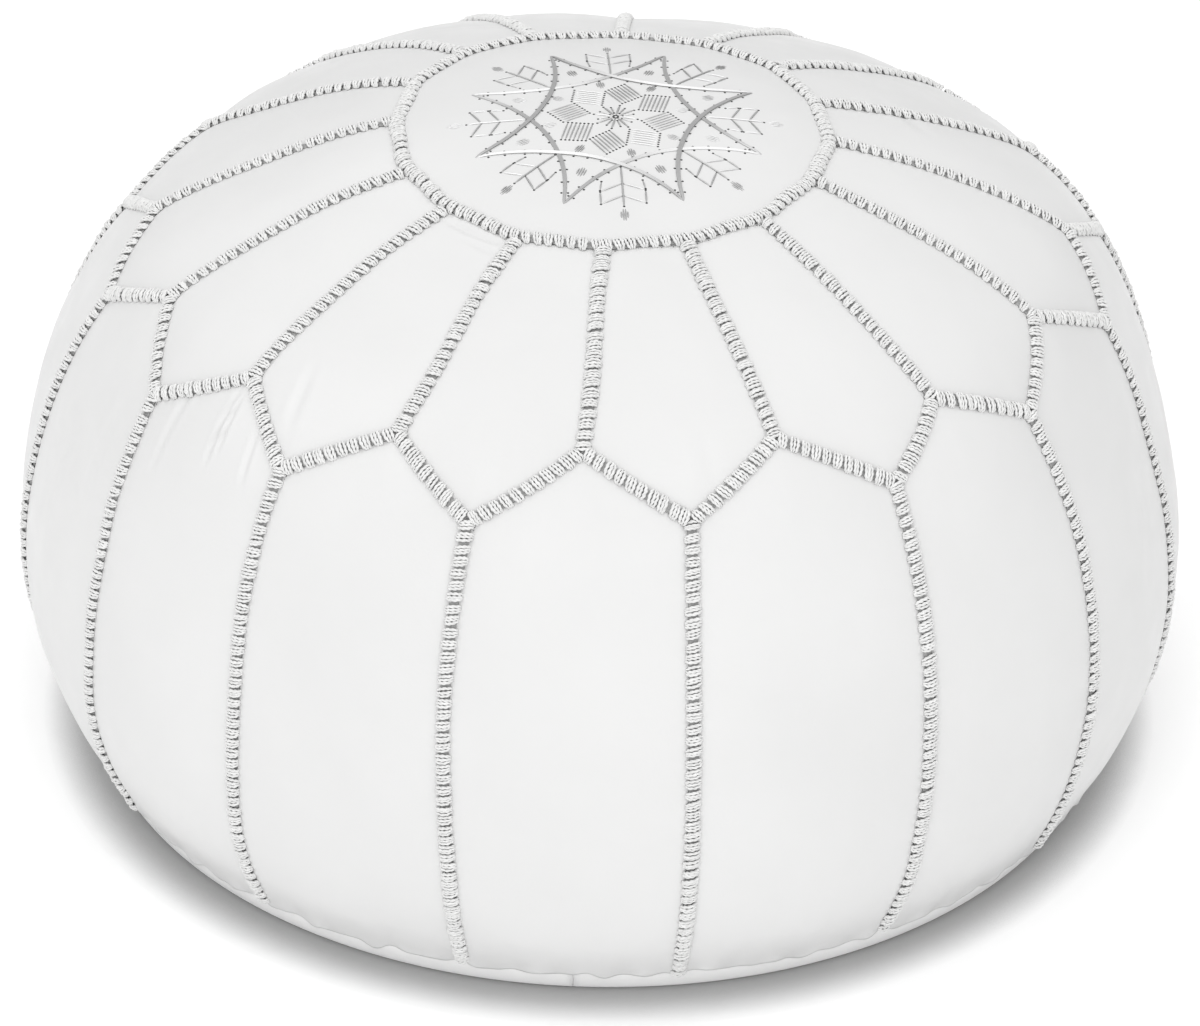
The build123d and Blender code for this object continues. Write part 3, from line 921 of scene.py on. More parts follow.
class Wardrobe:
    """Makes each finish once and dresses pieces in it."""

    def __init__(self) -> None:
        """Starts with no materials made."""
        self.made: dict[Finish, bpy.types.Material] = {}

    def material(self, finish: Finish) -> bpy.types.Material:
        """Looks up a finish, and makes it the first time.

        Args:
            finish: Which finish.

        Returns:
            Its material.
        """
        if finish not in self.made:
            self.made[finish] = finish.value.make()
        return self.made[finish]

    def dress(self, piece: bpy.types.Object, finish: Finish) -> None:
        """Gives a new piece its material.

        Args:
            piece: The piece.
            finish: Its finish.
        """
        piece.data.materials.clear()
        piece.data.materials.append(self.material(finish))
        finish.slot

    def redress(self, nodes: dict[str, bpy.types.Object], names: list[str], finish: Finish) -> None:
        """Gives carried-over frame nodes a better material.

        Args:
            nodes: All frame nodes by name.
            names: Those to dress.
            finish: Their finish.
        """
        for name in names:
            for holder in nodes[name].material_slots:
                holder.material = self.material(finish)


def settle(piece: bpy.types.Object, nodes: list[str], note: str) -> bpy.types.Object:
    """Fixes a piece to the root body and reports it.

    Args:
        piece: The piece.
        nodes: Frame nodes that it stands for.
        note: What it is, for the log.

    Returns:
        The same piece.
    """
    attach(piece, "root")
    if nodes:
        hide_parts(*nodes)
    LOG.info("%s: %d faces, %s", piece.name, len(piece.data.polygons), note)
    return piece


# --------------------------------------------------------------------------
# Leather
# --------------------------------------------------------------------------
@dataclass(frozen=True)
class Crease:
    """One shallow fold: where it lies, its heading from east, and its size in millimetres."""

    turn: float
    run: float
    heading: float
    length: float
    width: float
    depth: float

    def height(self, turn: Array, run: Array, radius: Array) -> Array:
        """Height it adds to the skin.

        Args:
            turn: Turns of the places.
            run: Runs of the places.
            radius: Their distances from the axis.

        Returns:
            The heights in metres.
        """
        swing = (turn - math.radians(self.turn) + math.pi) % (2 * math.pi) - math.pi
        east, down = swing * radius / MM, (run / MM) - self.run
        c, s = math.cos(math.radians(self.heading)), math.sin(math.radians(self.heading))
        along, across = east * c - down * s, east * s + down * c
        valley = np.exp(-((across / self.width) ** 2))
        bank = np.exp(-(((np.abs(across) - 1.7 * self.width) / (0.9 * self.width)) ** 2))
        window = np.exp(-((2 * along / self.length) ** 4))
        return MM * self.depth * window * (0.35 * bank - valley)


@dataclass
class LeatherCover:
    """Sewn leather panels with plump middles, sunken edges, puckers and creases."""

    skin: Skin
    plan: SeamPlan
    wardrobe: Wardrobe
    thickness: float = 1.4 * MM
    plump: float = 2.4 * MM
    plump_reach: float = 20 * MM
    sink: float = 1.5 * MM
    sink_reach: float = 3.0 * MM
    pucker: float = 0.35 * MM
    pucker_place: float = 3.6 * MM
    pucker_width: float = 1.7 * MM
    stitch: float = 5.3 * MM
    hide_height: float = 0.12 * MM
    hem_reach: float = 28 * MM
    hem_share: float = 0.3
    flutter_reach: float = 6 * MM
    creases: tuple[Crease, ...] = (
        Crease(-134.0, 255, 95, 34, 1.3, 1.5),
        Crease(-133.2, 252, 97, 24, 1.2, 1.3),
        Crease(-128.8, 260, 99, 26, 1.5, 0.9),
        Crease(-141, 268, 89, 44, 2.2, 0.7),
        Crease(-126.5, 226, 102, 28, 2.4, 0.6),
        Crease(-126, 232, 96, 24, 2.6, 0.4),
        Crease(-151, 300, 88, 60, 4.2, 0.45),
        Crease(-158, 330, 85, 50, 4.0, 0.4),
        Crease(-122, 113, 176, 30, 1.9, 1.2),
        Crease(-118, 119, 168, 18, 2.0, 0.6),
        Crease(-100, 238, 84, 24, 3.4, 0.35),
        Crease(-76, 232, 95, 26, 3.8, 0.35),
        Crease(-52, 445, 160, 70, 5.0, 0.35),
        Crease(-20, 345, 75, 60, 5.0, 0.35),
        Crease(40, 262, 85, 34, 2.6, 0.6),
        Crease(44, 259, 92, 26, 2.0, 0.5),
        Crease(95, 262, 95, 40, 3.0, 0.6),
        Crease(99, 258, 90, 26, 2.2, 0.5),
        Crease(150, 270, 80, 36, 3.0, 0.6),
        Crease(20, 150, 20, 40, 4.0, 0.4),
        Crease(120, 160, 140, 40, 4.0, 0.4),
    )

    def __post_init__(self) -> None:
        """Draws the fine unevenness of the hide."""
        self.hide = Ripples(21, 16 * MM, 42 * MM, 12)

    def edge_relief(self, distance: Array, along: Array) -> tuple[Array, Array]:
        """Sunken edge and puckers near one seam.

        Args:
            distance: Distance from the seam.
            along: Distance along it.

        Returns:
            The height to add and the share of plumpness left.
        """
        sunk = -self.sink * (1 - smoothstep(0, self.sink_reach, distance))
        band = np.exp(-(((distance - self.pucker_place) / self.pucker_width) ** 2))
        rows = 0.5 + 0.5 * np.cos(2 * math.pi * along / self.stitch)
        return sunk - self.pucker * rows * band, 1 - np.exp(-distance / self.plump_reach)

    def relief(self, turn: Array, run: Array, edges: list[tuple[Array, Array]]) -> Array:
        """Height of the leather above the skin at each place.

        Args:
            turn: Turns of the places.
            run: Runs of the places.
            edges: For each edge, distances from it and along it.

        Returns:
            The heights.
        """
        radius = self.skin.station(run)[0]
        lift = np.zeros_like(run)
        share = np.ones_like(run)
        for distance, along in edges:
            height, left = self.edge_relief(distance, along)
            lift += height
            share *= left
        lift += self.plump * share
        lift += self.hide_height * self.hide.at(self.skin.point(turn, run)) * share
        for crease in self.creases:
            lift += crease.height(turn, run, radius)
        return lift

    def sheet(self, name: str, turn: Array, run: Array, open_base: bool) -> bpy.types.Object:
        """Closed leather sheet over a grid of places.

        Args:
            name: Name of the piece.
            turn: Turns, rows down and columns round.
            run: Runs of the same form.
            open_base: True where the bottom edge is a hem and not a stitched seam.

        Returns:
            The new object.
        """
        flat = self.skin.point(turn, run)
        across = np.linalg.norm(np.diff(flat, axis=1), axis=-1)
        down = np.linalg.norm(np.diff(flat, axis=0), axis=-1)
        from_left = np.pad(np.cumsum(across, axis=1), ((0, 0), (1, 0)))
        from_top = np.pad(np.cumsum(down, axis=0), ((1, 0), (0, 0)))
        from_right = from_left[:, -1:] - from_left
        from_bottom = from_top[-1:] - from_top
        edges = [(from_left, from_top), (from_right, from_top), (from_top, from_left)]
        if not open_base:
            edges.append((from_bottom, from_left))
        lift = self.relief(turn, run, edges)
        if open_base:
            lift *= self.hem_share + (1 - self.hem_share) * smoothstep(0, self.hem_reach, from_bottom)
            flutter = 0.9 + 0.5 * np.sin(61 * turn + 1.0) + 0.4 * np.sin(103 * turn)
            lift += flutter * MM * np.exp(-from_bottom / self.flutter_reach)
        outer = self.skin.point(turn, run, lift)
        inner = outer - self.thickness * grid_normals(outer)
        rows, columns = run.shape
        shell = Shell()
        shell.add(outer, grid_faces(rows, columns))
        shell.add(inner, grid_faces(rows, columns, flip=True))
        shell.quads.append(self.rim(rows, columns))
        return shell.build(name)

    @staticmethod
    def rim(rows: int, columns: int) -> Array:
        """Quads joining the edges of two stacked grids.

        Args:
            rows: Vertex rows of each grid.
            columns: Vertices in a row.

        Returns:
            An array of four indices per face.
        """
        index = np.arange(rows * columns).reshape(rows, columns)
        loop = np.concatenate([index[0, :-1], index[:-1, -1], index[-1, :0:-1], index[:0:-1, 0]])
        after = np.roll(loop, -1)
        back = rows * columns
        return np.stack([loop, after, after + back, loop + back], axis=-1)

    @staticmethod
    def stretched(top: Array, bottom: Array, left: Array, right: Array) -> Array:
        """Grid of places between four edges that share their corners.

        Args:
            top: Places along the top edge, columns by 2.
            bottom: Places along the bottom edge.
            left: Places down the left edge, rows by 2.
            right: Places down the right edge.

        Returns:
            Places, rows by columns by 2.
        """
        rows, columns = len(left), len(top)
        u = LeatherCover.across_steps(columns)[None, :, None]
        v = np.linspace(0, 1, rows)[:, None, None]
        rails = (1 - v) * top[None] + v * bottom[None]
        posts = (1 - u) * left[:, None] + u * right[:, None]
        corners = ((1 - v) * ((1 - u) * top[0] + u * top[-1])
                   + v * ((1 - u) * bottom[0] + u * bottom[-1]))
        return rails + posts - corners

    @staticmethod
    def across_steps(columns: int) -> Array:
        """Steps across a panel, finer beside the seams."""
        return crowded(columns, 0.72)

    def chevron(self, index: int, pointing_down: bool, columns: int) -> Array:
        """Zigzag edge of a panel.

        Args:
            index: Number of the panel.
            pointing_down: True for the bottom of an upper panel.
            columns: Number of places.

        Returns:
            Places from left to right, columns by 2.
        """
        u = self.across_steps(columns)
        first, second = u[u < 0.5] * 2, (u[u >= 0.5] - 0.5) * 2
        if pointing_down:
            halves = (self.plan.zigzag(index, True, first), self.plan.zigzag(index, False, second))
        else:
            halves = (self.plan.zigzag(index - 1 + PANELS, False, first),
                      self.plan.zigzag(index + PANELS, True, second))
        return np.concatenate([np.stack(half, axis=-1) for half in halves])

    def upper_panel(self, index: int) -> bpy.types.Object:
        """Five-sided panel between two upper seams.

        Args:
            index: Number of the panel, anticlockwise from the front seam.

        Returns:
            The new object.
        """
        columns, rows = 51, 112
        u, v = self.across_steps(columns), np.linspace(0, 1, rows)
        left = np.stack(self.plan.upper(index, v), axis=-1)
        right = np.stack(self.plan.upper(index + 1, v), axis=-1)
        turn = left[0, 0] + (right[0, 0] - left[0, 0]) * u
        top = np.stack([turn, self.plan.ring(turn)], axis=-1)
        grid = self.stretched(top, self.chevron(index, True, columns), left, right)
        name = f"leather_upper_panel_{index + 1:02d}"
        piece = self.sheet(name, grid[..., 0], grid[..., 1], False)
        self.wardrobe.dress(piece, Finish.COVER)
        return settle(piece, [f"upper_panel_{index + 1:02d}"], "sewn leather panel")

    def lower_panel(self, index: int) -> bpy.types.Object:
        """Tall panel between two lower seams, pointed at its top.

        Args:
            index: Number of the panel, anticlockwise from the front seam.

        Returns:
            The new object.
        """
        columns, rows = 91, 236
        u, v = self.across_steps(columns), np.linspace(0, 1, rows)
        left = np.stack(self.plan.lower(index - 1 + PANELS, v), axis=-1)
        right = np.stack(self.plan.lower(index + PANELS, v), axis=-1)
        turn = left[-1, 0] + (right[-1, 0] - left[-1, 0]) * u
        bottom = np.stack([turn, self.plan.hem(turn)], axis=-1)
        grid = self.stretched(self.chevron(index, False, columns), bottom, left, right)
        name = f"leather_lower_panel_{index + 1:02d}"
        piece = self.sheet(name, grid[..., 0], grid[..., 1], True)
        self.wardrobe.dress(piece, Finish.COVER)
        return settle(piece, [f"lower_panel_{index + 1:02d}"], "sewn leather panel")

    def top_piece(self) -> bpy.types.Object:
        """Round top piece inside the ring seam.

        Returns:
            The new object.
        """
        rings, sectors = 64, 288
        turn = np.linspace(0, 2 * math.pi, sectors, endpoint=False)
        edge = self.plan.ring(turn)
        share = np.sin(0.5 * math.pi * np.linspace(0.02, 1, rings)) ** 0.9
        run = share[:, None] * edge[None]
        turns = np.broadcast_to(turn, run.shape)
        along = np.broadcast_to(turn * self.plan.ring_radius, run.shape)
        lift = self.relief(turns, run, [(edge[None] - run, along)])
        outer = self.skin.point(turns, run, lift)
        centre = outer[0].mean(axis=0)
        inner = outer - np.array([0, 0, self.thickness])
        shell = Shell()
        last = sectors * rings
        around = np.arange(sectors)
        after = (around + 1) % sectors
        fan = np.stack([np.full(sectors, last), around, after], axis=-1)
        wall = grid_faces(rings, sectors, wrap_columns=True)
        shell.add(np.concatenate([outer.reshape(-1, 3), centre[None]]), wall, fan)
        low = np.concatenate([inner.reshape(-1, 3), centre[None] - [0, 0, self.thickness]])
        shell.add(low, wall[:, ::-1], fan[:, ::-1])
        base = (rings - 1) * sectors
        under = last + 1 + base
        shell.quads.append(np.stack([base + around, under + around, under + after,
                                     base + after], axis=-1))
        piece = shell.build("leather_top_piece")
        self.wardrobe.dress(piece, Finish.COVER)
        return settle(piece, ["top_medallion"], "round top piece")

    def build(self) -> None:
        """Makes every leather panel."""
        for index in range(PANELS):
            self.upper_panel(index)
            self.lower_panel(index)
        self.top_piece()


# --------------------------------------------------------------------------
# Stitched seams
# --------------------------------------------------------------------------
@dataclass
class Course:
    """A seam's line in space, sampled closely, that stitches can be placed along."""

    points: Array
    normals: Array
    closed: bool = False

    def __post_init__(self) -> None:
        """Measures the line."""
        steps = np.linalg.norm(np.diff(self.points, axis=0), axis=-1)
        self.arc = np.concatenate([[0.0], np.cumsum(steps)])
        self.length = float(self.arc[-1])
        self.tangents = unit(np.gradient(self.points, self.arc, axis=0))

    def at(self, place: Array) -> tuple[Array, Array, Array, Array]:
        """Places along the line; past its ends it goes straight on.

        Args:
            place: Distances along it.

        Returns:
            The point, the direction, the outward normal and the sideways direction at each.
        """
        if self.closed:
            place = np.mod(place, self.length)
        beyond = place - np.clip(place, 0.0, self.length)
        flat = place.ravel()
        found = []
        for values in (self.points, self.tangents, self.normals):
            found.append(np.stack([np.interp(flat, self.arc, values[:, axis])
                                   for axis in range(3)], axis=-1).reshape(*place.shape, 3))
        along, normal = unit(found[1]), unit(found[2])
        point = found[0] + along * beyond[..., None]
        return point, along, normal, unit(np.cross(along, normal))


@dataclass
class CordStitching:
    """Rows of crossing yarn bundles wrapped over a padded welt."""

    skin: Skin
    plan: SeamPlan
    wardrobe: Wardrobe
    pitch: float = 5.3 * MM
    width: float = 6.5 * MM
    crest: float = 2.35 * MM
    strand: float = 0.80 * MM
    strands: int = 3
    foot_gap: float = 0.52 * MM
    crest_gap: float = 0.99 * MM
    foot_sink: float = 0.55 * MM
    middle_rise: float = 0.12 * MM
    slant: float = 1.7 * MM
    rings: int = 22
    sides: int = 10
    twist: float = 2.2
    place_jitter: float = 0.22 * MM
    slant_jitter: float = 0.38 * MM
    width_jitter: float = 0.05
    strand_jitter: float = 0.15 * MM
    crest_jitter: float = 0.19 * MM
    yarn_jitter: float = 0.06
    welt_width: float = 4.4 * MM
    welt_height: float = 0.9 * MM
    welt_depth: float = 0.8 * MM
    welt_beyond: float = 0.5 * MM
    hole: float = 0.48 * MM
    hole_clear: float = 0.15 * MM
    # Painted shade: how much the welt core and the needle holes are darkened through the pit attribute.
    core_shadow: float = 0.52
    hole_shadow: float = 0.80
    upper_free: tuple = (3.2 * MM, -0.9 * MM)
    zigzag_free: tuple = (0.9 * MM, 0.9 * MM)
    lower_free: tuple = (-1.0 * MM, 1.0 * MM)
    seed: int = 40

    def course(self, places: Callable[[Array], tuple[Array, Array]], count: int,
               closed: bool = False) -> Course:
        """Line in space of a seam.

        Args:
            places: Gives its turn and run at shares of its length.
            count: Number of points.
            closed: True where its end meets its start.

        Returns:
            The line.
        """
        turn, run = places(np.linspace(0, 1, count))
        return Course(*self.skin.frame(turn, run), closed)

    def bundles(self, course: Course, start: float, end: float,
                draw: np.random.Generator) -> tuple[Array, Array, Array]:
        """Yarn bundles along a seam.

        Args:
            course: The seam.
            start: Distance along it of the first edge.
            end: Distance along it of the last edge.
            draw: Source of the small differences between stitches.

        Returns:
            Vertices, quads and triangles of all strands.
        """
        count = max(1, round((end - start) / self.pitch))
        pitch = (end - start) / count
        middle = start + (np.arange(count) + 0.5) * pitch
        middle = middle + draw.normal(0, self.place_jitter, count)
        slant = self.slant + draw.normal(0, self.slant_jitter, count)
        wide = self.width * (1 + draw.normal(0, self.width_jitter, count))
        row = np.arange(self.strands) - (self.strands - 1) / 2
        w = np.linspace(0, 1, self.rings)
        arch = np.sin(math.pi * w)
        scale = pitch / self.pitch
        spread = (self.foot_gap + self.crest_gap * arch**0.7) * scale
        along = (middle[:, None, None] + row[None, :, None] * spread[None, None]
                 + slant[:, None, None] * (w - 0.5)[None, None])
        shape = (count, self.strands, 1)
        along = along + draw.normal(0, self.strand_jitter, shape) * arch
        side = -0.5 * wide[:, None, None] * np.cos(math.pi * w)[None, None]
        side = np.broadcast_to(side, along.shape)
        rise = (self.crest + draw.normal(0, self.crest_jitter, shape)) * arch**0.62
        rise = rise + self.middle_rise * (1 - np.abs(row))[None, :, None] * arch
        rise = rise - self.foot_sink * (1 - arch)
        point, ahead, normal, across = course.at(along)
        centre = point + across * side[..., None] + normal * rise[..., None]
        centre = centre.reshape(-1, self.rings, 3)
        ahead = ahead.reshape(-1, self.rings, 3)
        heading = unit(np.gradient(centre, axis=1))
        first = unit(ahead - heading * (ahead * heading).sum(-1, keepdims=True))
        second = np.cross(heading, first)
        angle = np.linspace(0, 2 * math.pi, self.sides, endpoint=False)
        phase = draw.uniform(0, 2 * math.pi, (len(centre), 1, 1))
        winding = 2 * math.pi * self.twist * w
        lobes = np.abs(np.cos(angle[None, None] - winding[None, :, None] + phase))
        thick = self.strand * (0.62 + 0.38 * arch**0.5) * scale
        thick = thick[None, :, None] * (0.56 + 0.54 * lobes)
        thick = thick * (1 + draw.normal(0, self.yarn_jitter, (len(centre), 1, 1)))
        return many_tubes(centre, first, second, thick * np.cos(angle), thick * np.sin(angle))

    def welt(self, course: Course, start: float, end: float) -> tuple[Array, Array, Array]:
        """Padded ridge that the yarn is wrapped over; its colour is darkened as painted shade.

        Args:
            course: The seam.
            start: Distance along it of the first end.
            end: Distance along it of the last end.

        Returns:
            Vertices, quads and triangles.
        """
        rings = max(8, int((end - start) / (2.2 * MM)))
        place = np.linspace(start, end, rings)
        point, _, normal, across = course.at(place)
        sides = 12
        angle = np.linspace(0, 2 * math.pi, sides, endpoint=False)
        flat = np.broadcast_to(0.5 * self.welt_width * np.cos(angle), (1, rings, sides))
        reach = np.where(np.sin(angle) > 0, self.welt_height, self.welt_depth)
        tall = np.broadcast_to(reach * np.sin(angle), (1, rings, sides))
        return many_tubes(point[None], across[None], normal[None], flat, tall)

    def holes(self, course: Course, start: float, end: float) -> tuple[Array, Array, Array]:
        """Needle holes in the leather at both sides of each gap between stitches, darkened with painted
        shade.

        Args:
            course: The seam.
            start: Distance along it of the first hole.
            end: Distance along it of the last hole.

        Returns:
            Vertices, quads and triangles.
        """
        count = max(1, round((end - start) / self.pitch))
        place = start + (np.arange(count + 1)) * (end - start) / count
        levels = np.array([-0.9, -0.25, -0.18]) * MM
        widths = self.hole * np.array([0.9, 1.0, 0.7])
        angle = np.linspace(0, 2 * math.pi, 7, endpoint=False)
        stacks = []
        for sign in (-1, 1):
            where = place + sign * 0.5 * self.slant
            point, along, normal, across = course.at(where)
            centre = point + across * (sign * (0.5 * self.width + self.hole_clear))
            stacks.append((centre, along, normal, across))
        point, along, normal, across = (np.concatenate(parts) for parts in zip(*stacks))
        centres = point[:, None] + normal[:, None] * levels[None, :, None]
        ring = widths[None, :, None] * np.ones((len(point), 1, 1))
        wide = np.broadcast_to(along[:, None], centres.shape)
        tall = np.broadcast_to(-across[:, None], centres.shape)
        return many_tubes(centres, wide, tall, ring * np.cos(angle), ring * np.sin(angle))

    def stitch(self, name: str, node: str, courses: list[tuple[Course, float, float]],
               key: int) -> bpy.types.Object:
        """One piece of stitching over one or more stretches of seam.

        Args:
            name: Name of the piece.
            node: Frame node it stands for.
            courses: Seams, each with the length left free at its start and end.
            key: Number that keeps this piece's small differences its own.

        Returns:
            The new object.
        """
        draw = np.random.default_rng(self.seed + key)
        shell = Shell()
        pits: list[Array] = []
        for course, gap_start, gap_end in courses:
            start, end = gap_start, course.length - gap_end
            parts = ((self.bundles(course, start, end, draw), 0.0),
                     (self.welt(course, start - self.welt_beyond, end + self.welt_beyond),
                      self.core_shadow),
                     (self.holes(course, start, end), self.hole_shadow))
            for part, pit in parts:
                shell.add(*part)
                pits.append(np.full(part[0].size // 3, pit, np.float32))
        piece = shell.build(name)
        # Stores the painted shade of the welt core and needle holes in the pit attribute.
        shadow = piece.data.attributes.new("pit", "FLOAT", "POINT")
        shadow.data.foreach_set("value", np.concatenate(pits))
        self.wardrobe.dress(piece, Finish.CORD)
        return settle(piece, [node], "wrapped yarn seam")

    def build(self) -> None:
        """Stitches every seam of the cover."""
        plan = self.plan

        def round_seam(t: Array) -> tuple[Array, Array]:
            """Turn and run of the round seam at shares of a full turn."""
            turn = FRONT + 2 * math.pi * t
            return turn, plan.ring(turn)

        ring = self.course(round_seam, count=1200, closed=True)
        self.stitch("ring_stitching", "ring_braid", [(ring, 0.0, 0.0)], 0)
        for k in range(PANELS):
            upper = self.course(lambda t, k=k: plan.upper(k, t), count=160)
            self.stitch(f"upper_stitching_{k + 1:02d}", "upper_seam_braids",
                        [(upper, *self.upper_free)], 100 + k)
            falling = self.course(lambda t, k=k: plan.zigzag(k, True, t), count=80)
            rising = self.course(lambda t, k=k: plan.zigzag(k, False, t), count=80)
            self.stitch(f"zigzag_stitching_{k + 1:02d}", "zigzag_braids",
                        [(falling, *self.zigzag_free), (rising, *self.zigzag_free)], 200 + k)
            lower = self.course(lambda t, k=k: plan.lower(k, t), count=320)
            self.stitch(f"lower_stitching_{k + 1:02d}", "lower_seam_braids",
                        [(lower, *self.lower_free)], 300 + k)


# --------------------------------------------------------------------------
# Embroidery
# --------------------------------------------------------------------------
@dataclass
class Embroidery:
    """Eight-point star with feathers round a pinwheel rosette, in raised silk.

    Its plan sizes are in millimetres, and its angles in degrees.
    """

    skin: Skin
    cover: LeatherCover
    plan: SeamPlan
    wardrobe: Wardrobe
    star_tip: float = 76.0
    star_waist: float = 37.5
    feather_root: float = 44.0
    feather_end: float = 73.5
    leaf_tip: float = 85.0
    petal_middle: float = 23.5
    petal_lean: float = 42.0
    petal_length: float = 15.5
    petal_width: float = 12.2
    barb_roots: tuple = (57.0, 66.0)
    barb_rise: float = 5.5
    barb_reach: float = 11.0
    band_rows: int = 4
    band_step: float = 0.52
    band_thread: float = 0.36
    band_holes: float = 1.6
    fill_thread: float = 0.34
    stem_thread: float = 0.42
    crossing_lift: float = 0.35
    turned: float = 6.0
    stretch: tuple = (0.945, 1.018)
    shift: tuple = (2.0, -4.4)
    lines: list[tuple[Array, float, float]] = field(default_factory=list)
    holes: list[tuple[float, float]] = field(default_factory=list)

    @staticmethod
    def polar(radius: float, angle: float) -> Array:
        """Plan point.

        Args:
            radius: Distance from the pattern's middle in millimetres.
            angle: Heading in degrees.

        Returns:
            Its two coordinates in millimetres.
        """
        a = math.radians(angle)
        return np.array([radius * math.cos(a), radius * math.sin(a)])

    def line(self, start: Array, end: Array, radius: float = 0.5, lift: float = 0.0,
             pierced: bool = True) -> None:
        """Adds one straight thread.

        Args:
            start: First plan point.
            end: Last plan point.
            radius: Radius of the thread in millimetres.
            lift: How far its middle is raised.
            pierced: True where needle holes show at its ends.
        """
        steps = max(5, int(np.linalg.norm(end - start) / 1.6))
        t = np.linspace(0, 1, steps)[:, None]
        self.lines.append((start + (end - start) * t, radius, lift))
        if pierced:
            self.holes += [tuple(start), tuple(end)]

    def bow(self, start: Array, middle: Array, end: Array, lift: float) -> None:
        """Adds a bowed band of parallel threads, with holes beside it.

        Args:
            start: First plan point.
            middle: Plan point that it bows towards.
            end: Last plan point.
            lift: How far its middle is raised, where it crosses over another.
        """
        steps = 60
        t = np.linspace(0, 1, steps)[:, None]
        control = 2 * middle - 0.5 * (start + end)
        path = (1 - t) ** 2 * start + 2 * t * (1 - t) * control + t**2 * end
        slope = np.gradient(path, axis=0)
        side = np.stack([-slope[:, 1], slope[:, 0]], axis=-1)
        side /= np.linalg.norm(side, axis=-1, keepdims=True)
        narrow = np.sin(math.pi * t) ** 0.35
        for row in range(self.band_rows):
            shift = (row - 0.5 * (self.band_rows - 1)) * self.band_step
            self.lines.append((path + side * shift * narrow, self.band_thread, lift))
        for share in np.linspace(0.06, 0.94, 13):
            spot = int(share * (steps - 1))
            for sign in (-1, 1):
                self.holes.append(tuple(path[spot] + side[spot] * sign * self.band_holes))

    def hatch(self, centre: Array, along: float, across: float, length: float, width: float,
              threads: int, skew: float = 0.0, pierced: bool = False) -> None:
        """Adds parallel threads filling a slanted patch.

        Args:
            centre: Middle of the patch.
            along: Heading of the threads in degrees.
            across: Heading of the other side in degrees.
            length: Length of each thread.
            width: Length of the other side.
            threads: Number of threads.
            skew: Share by which the outer threads are shortened.
            pierced: True where needle holes show at the ends.
        """
        u, v = self.polar(1.0, along), self.polar(1.0, across)
        for place in np.linspace(-0.5, 0.5, threads):
            middle = centre + v * place * width
            half = 0.5 * length * (1 - skew * abs(2 * place))
            self.line(middle - u * half, middle + u * half, self.fill_thread, pierced=pierced)

    def feather(self, angle: float) -> None:
        """Adds a stem, two pairs of barbs, side lines and a filled leaf tip.

        Args:
            angle: Heading of the stem in degrees.
        """
        def place(radius: float, side: float) -> Array:
            """Plan point at a distance along the stem and to its side."""
            return self.polar(1.0, angle) * radius + self.polar(1.0, angle + 90) * side

        reach = self.barb_reach
        self.line(place(self.feather_root, 0), place(self.feather_end, 0), self.stem_thread)
        for root in self.barb_roots:
            for sign in (-1, 1):
                self.line(place(root, 0), place(root + self.barb_rise, sign * reach), self.stem_thread)
        for sign in (-1, 1):
            self.line(place(62.5, sign * reach), place(71.5, sign * reach), self.stem_thread)
            self.line(place(55.0, sign * 10.0), place(61.5, sign * reach), self.fill_thread)
        middle = self.polar(0.5 * (self.feather_end + self.leaf_tip), angle)
        self.hatch(middle, angle, angle + 90, self.leaf_tip - self.feather_end - 1, 3.2, 4, 0.55)

    def draw_pattern(self) -> None:
        """Lays out the whole pattern."""
        for index in range(8):
            angle = 45.0 * index + self.turned
            self.bow(self.polar(self.star_tip, angle - 22.5),
                     self.polar(self.star_waist, angle + 22.5),
                     self.polar(self.star_tip, angle + 67.5), self.crossing_lift * (index % 2))
            self.feather(angle)
            heading = angle - 12.5
            self.hatch(self.polar(self.petal_middle, heading), heading + self.petal_lean,
                       heading - self.petal_lean, self.petal_length, self.petal_width, 7,
                       pierced=True)
            self.hatch(self.polar(33.5, angle + 10), angle + 10, angle + 100, 9.5, 3.2, 4, 0.5)
            self.hatch(self.polar(50.5, angle + 22.5), angle + 22.5, angle + 112.5, 9.0, 3.6, 4, 0.4)
            self.line(self.polar(1.2, angle - 10), self.polar(11.0, angle - 14), 0.45)
            self.line(self.polar(3.5, angle + 10), self.polar(9.0, angle + 12), 0.38)

    def ground(self, plan: Array) -> tuple[Array, Array]:
        """Finds the leather under the pattern.

        Args:
            plan: Plan points in millimetres.

        Returns:
            Points on the leather and their outward normals.
        """
        x = (plan[..., 0] * self.stretch[0] + self.shift[0]) * MM
        y = (plan[..., 1] * self.stretch[1] + self.shift[1]) * MM
        run = self.skin.run_on_crown(np.hypot(x, y))
        turn = np.arctan2(y, x)
        edge = self.plan.ring(turn)
        along = turn * self.plan.ring_radius
        lift = self.cover.relief(turn, run, [(edge - run, along)])
        return self.skin.point(turn, run, lift), self.skin.frame(turn, run)[1]

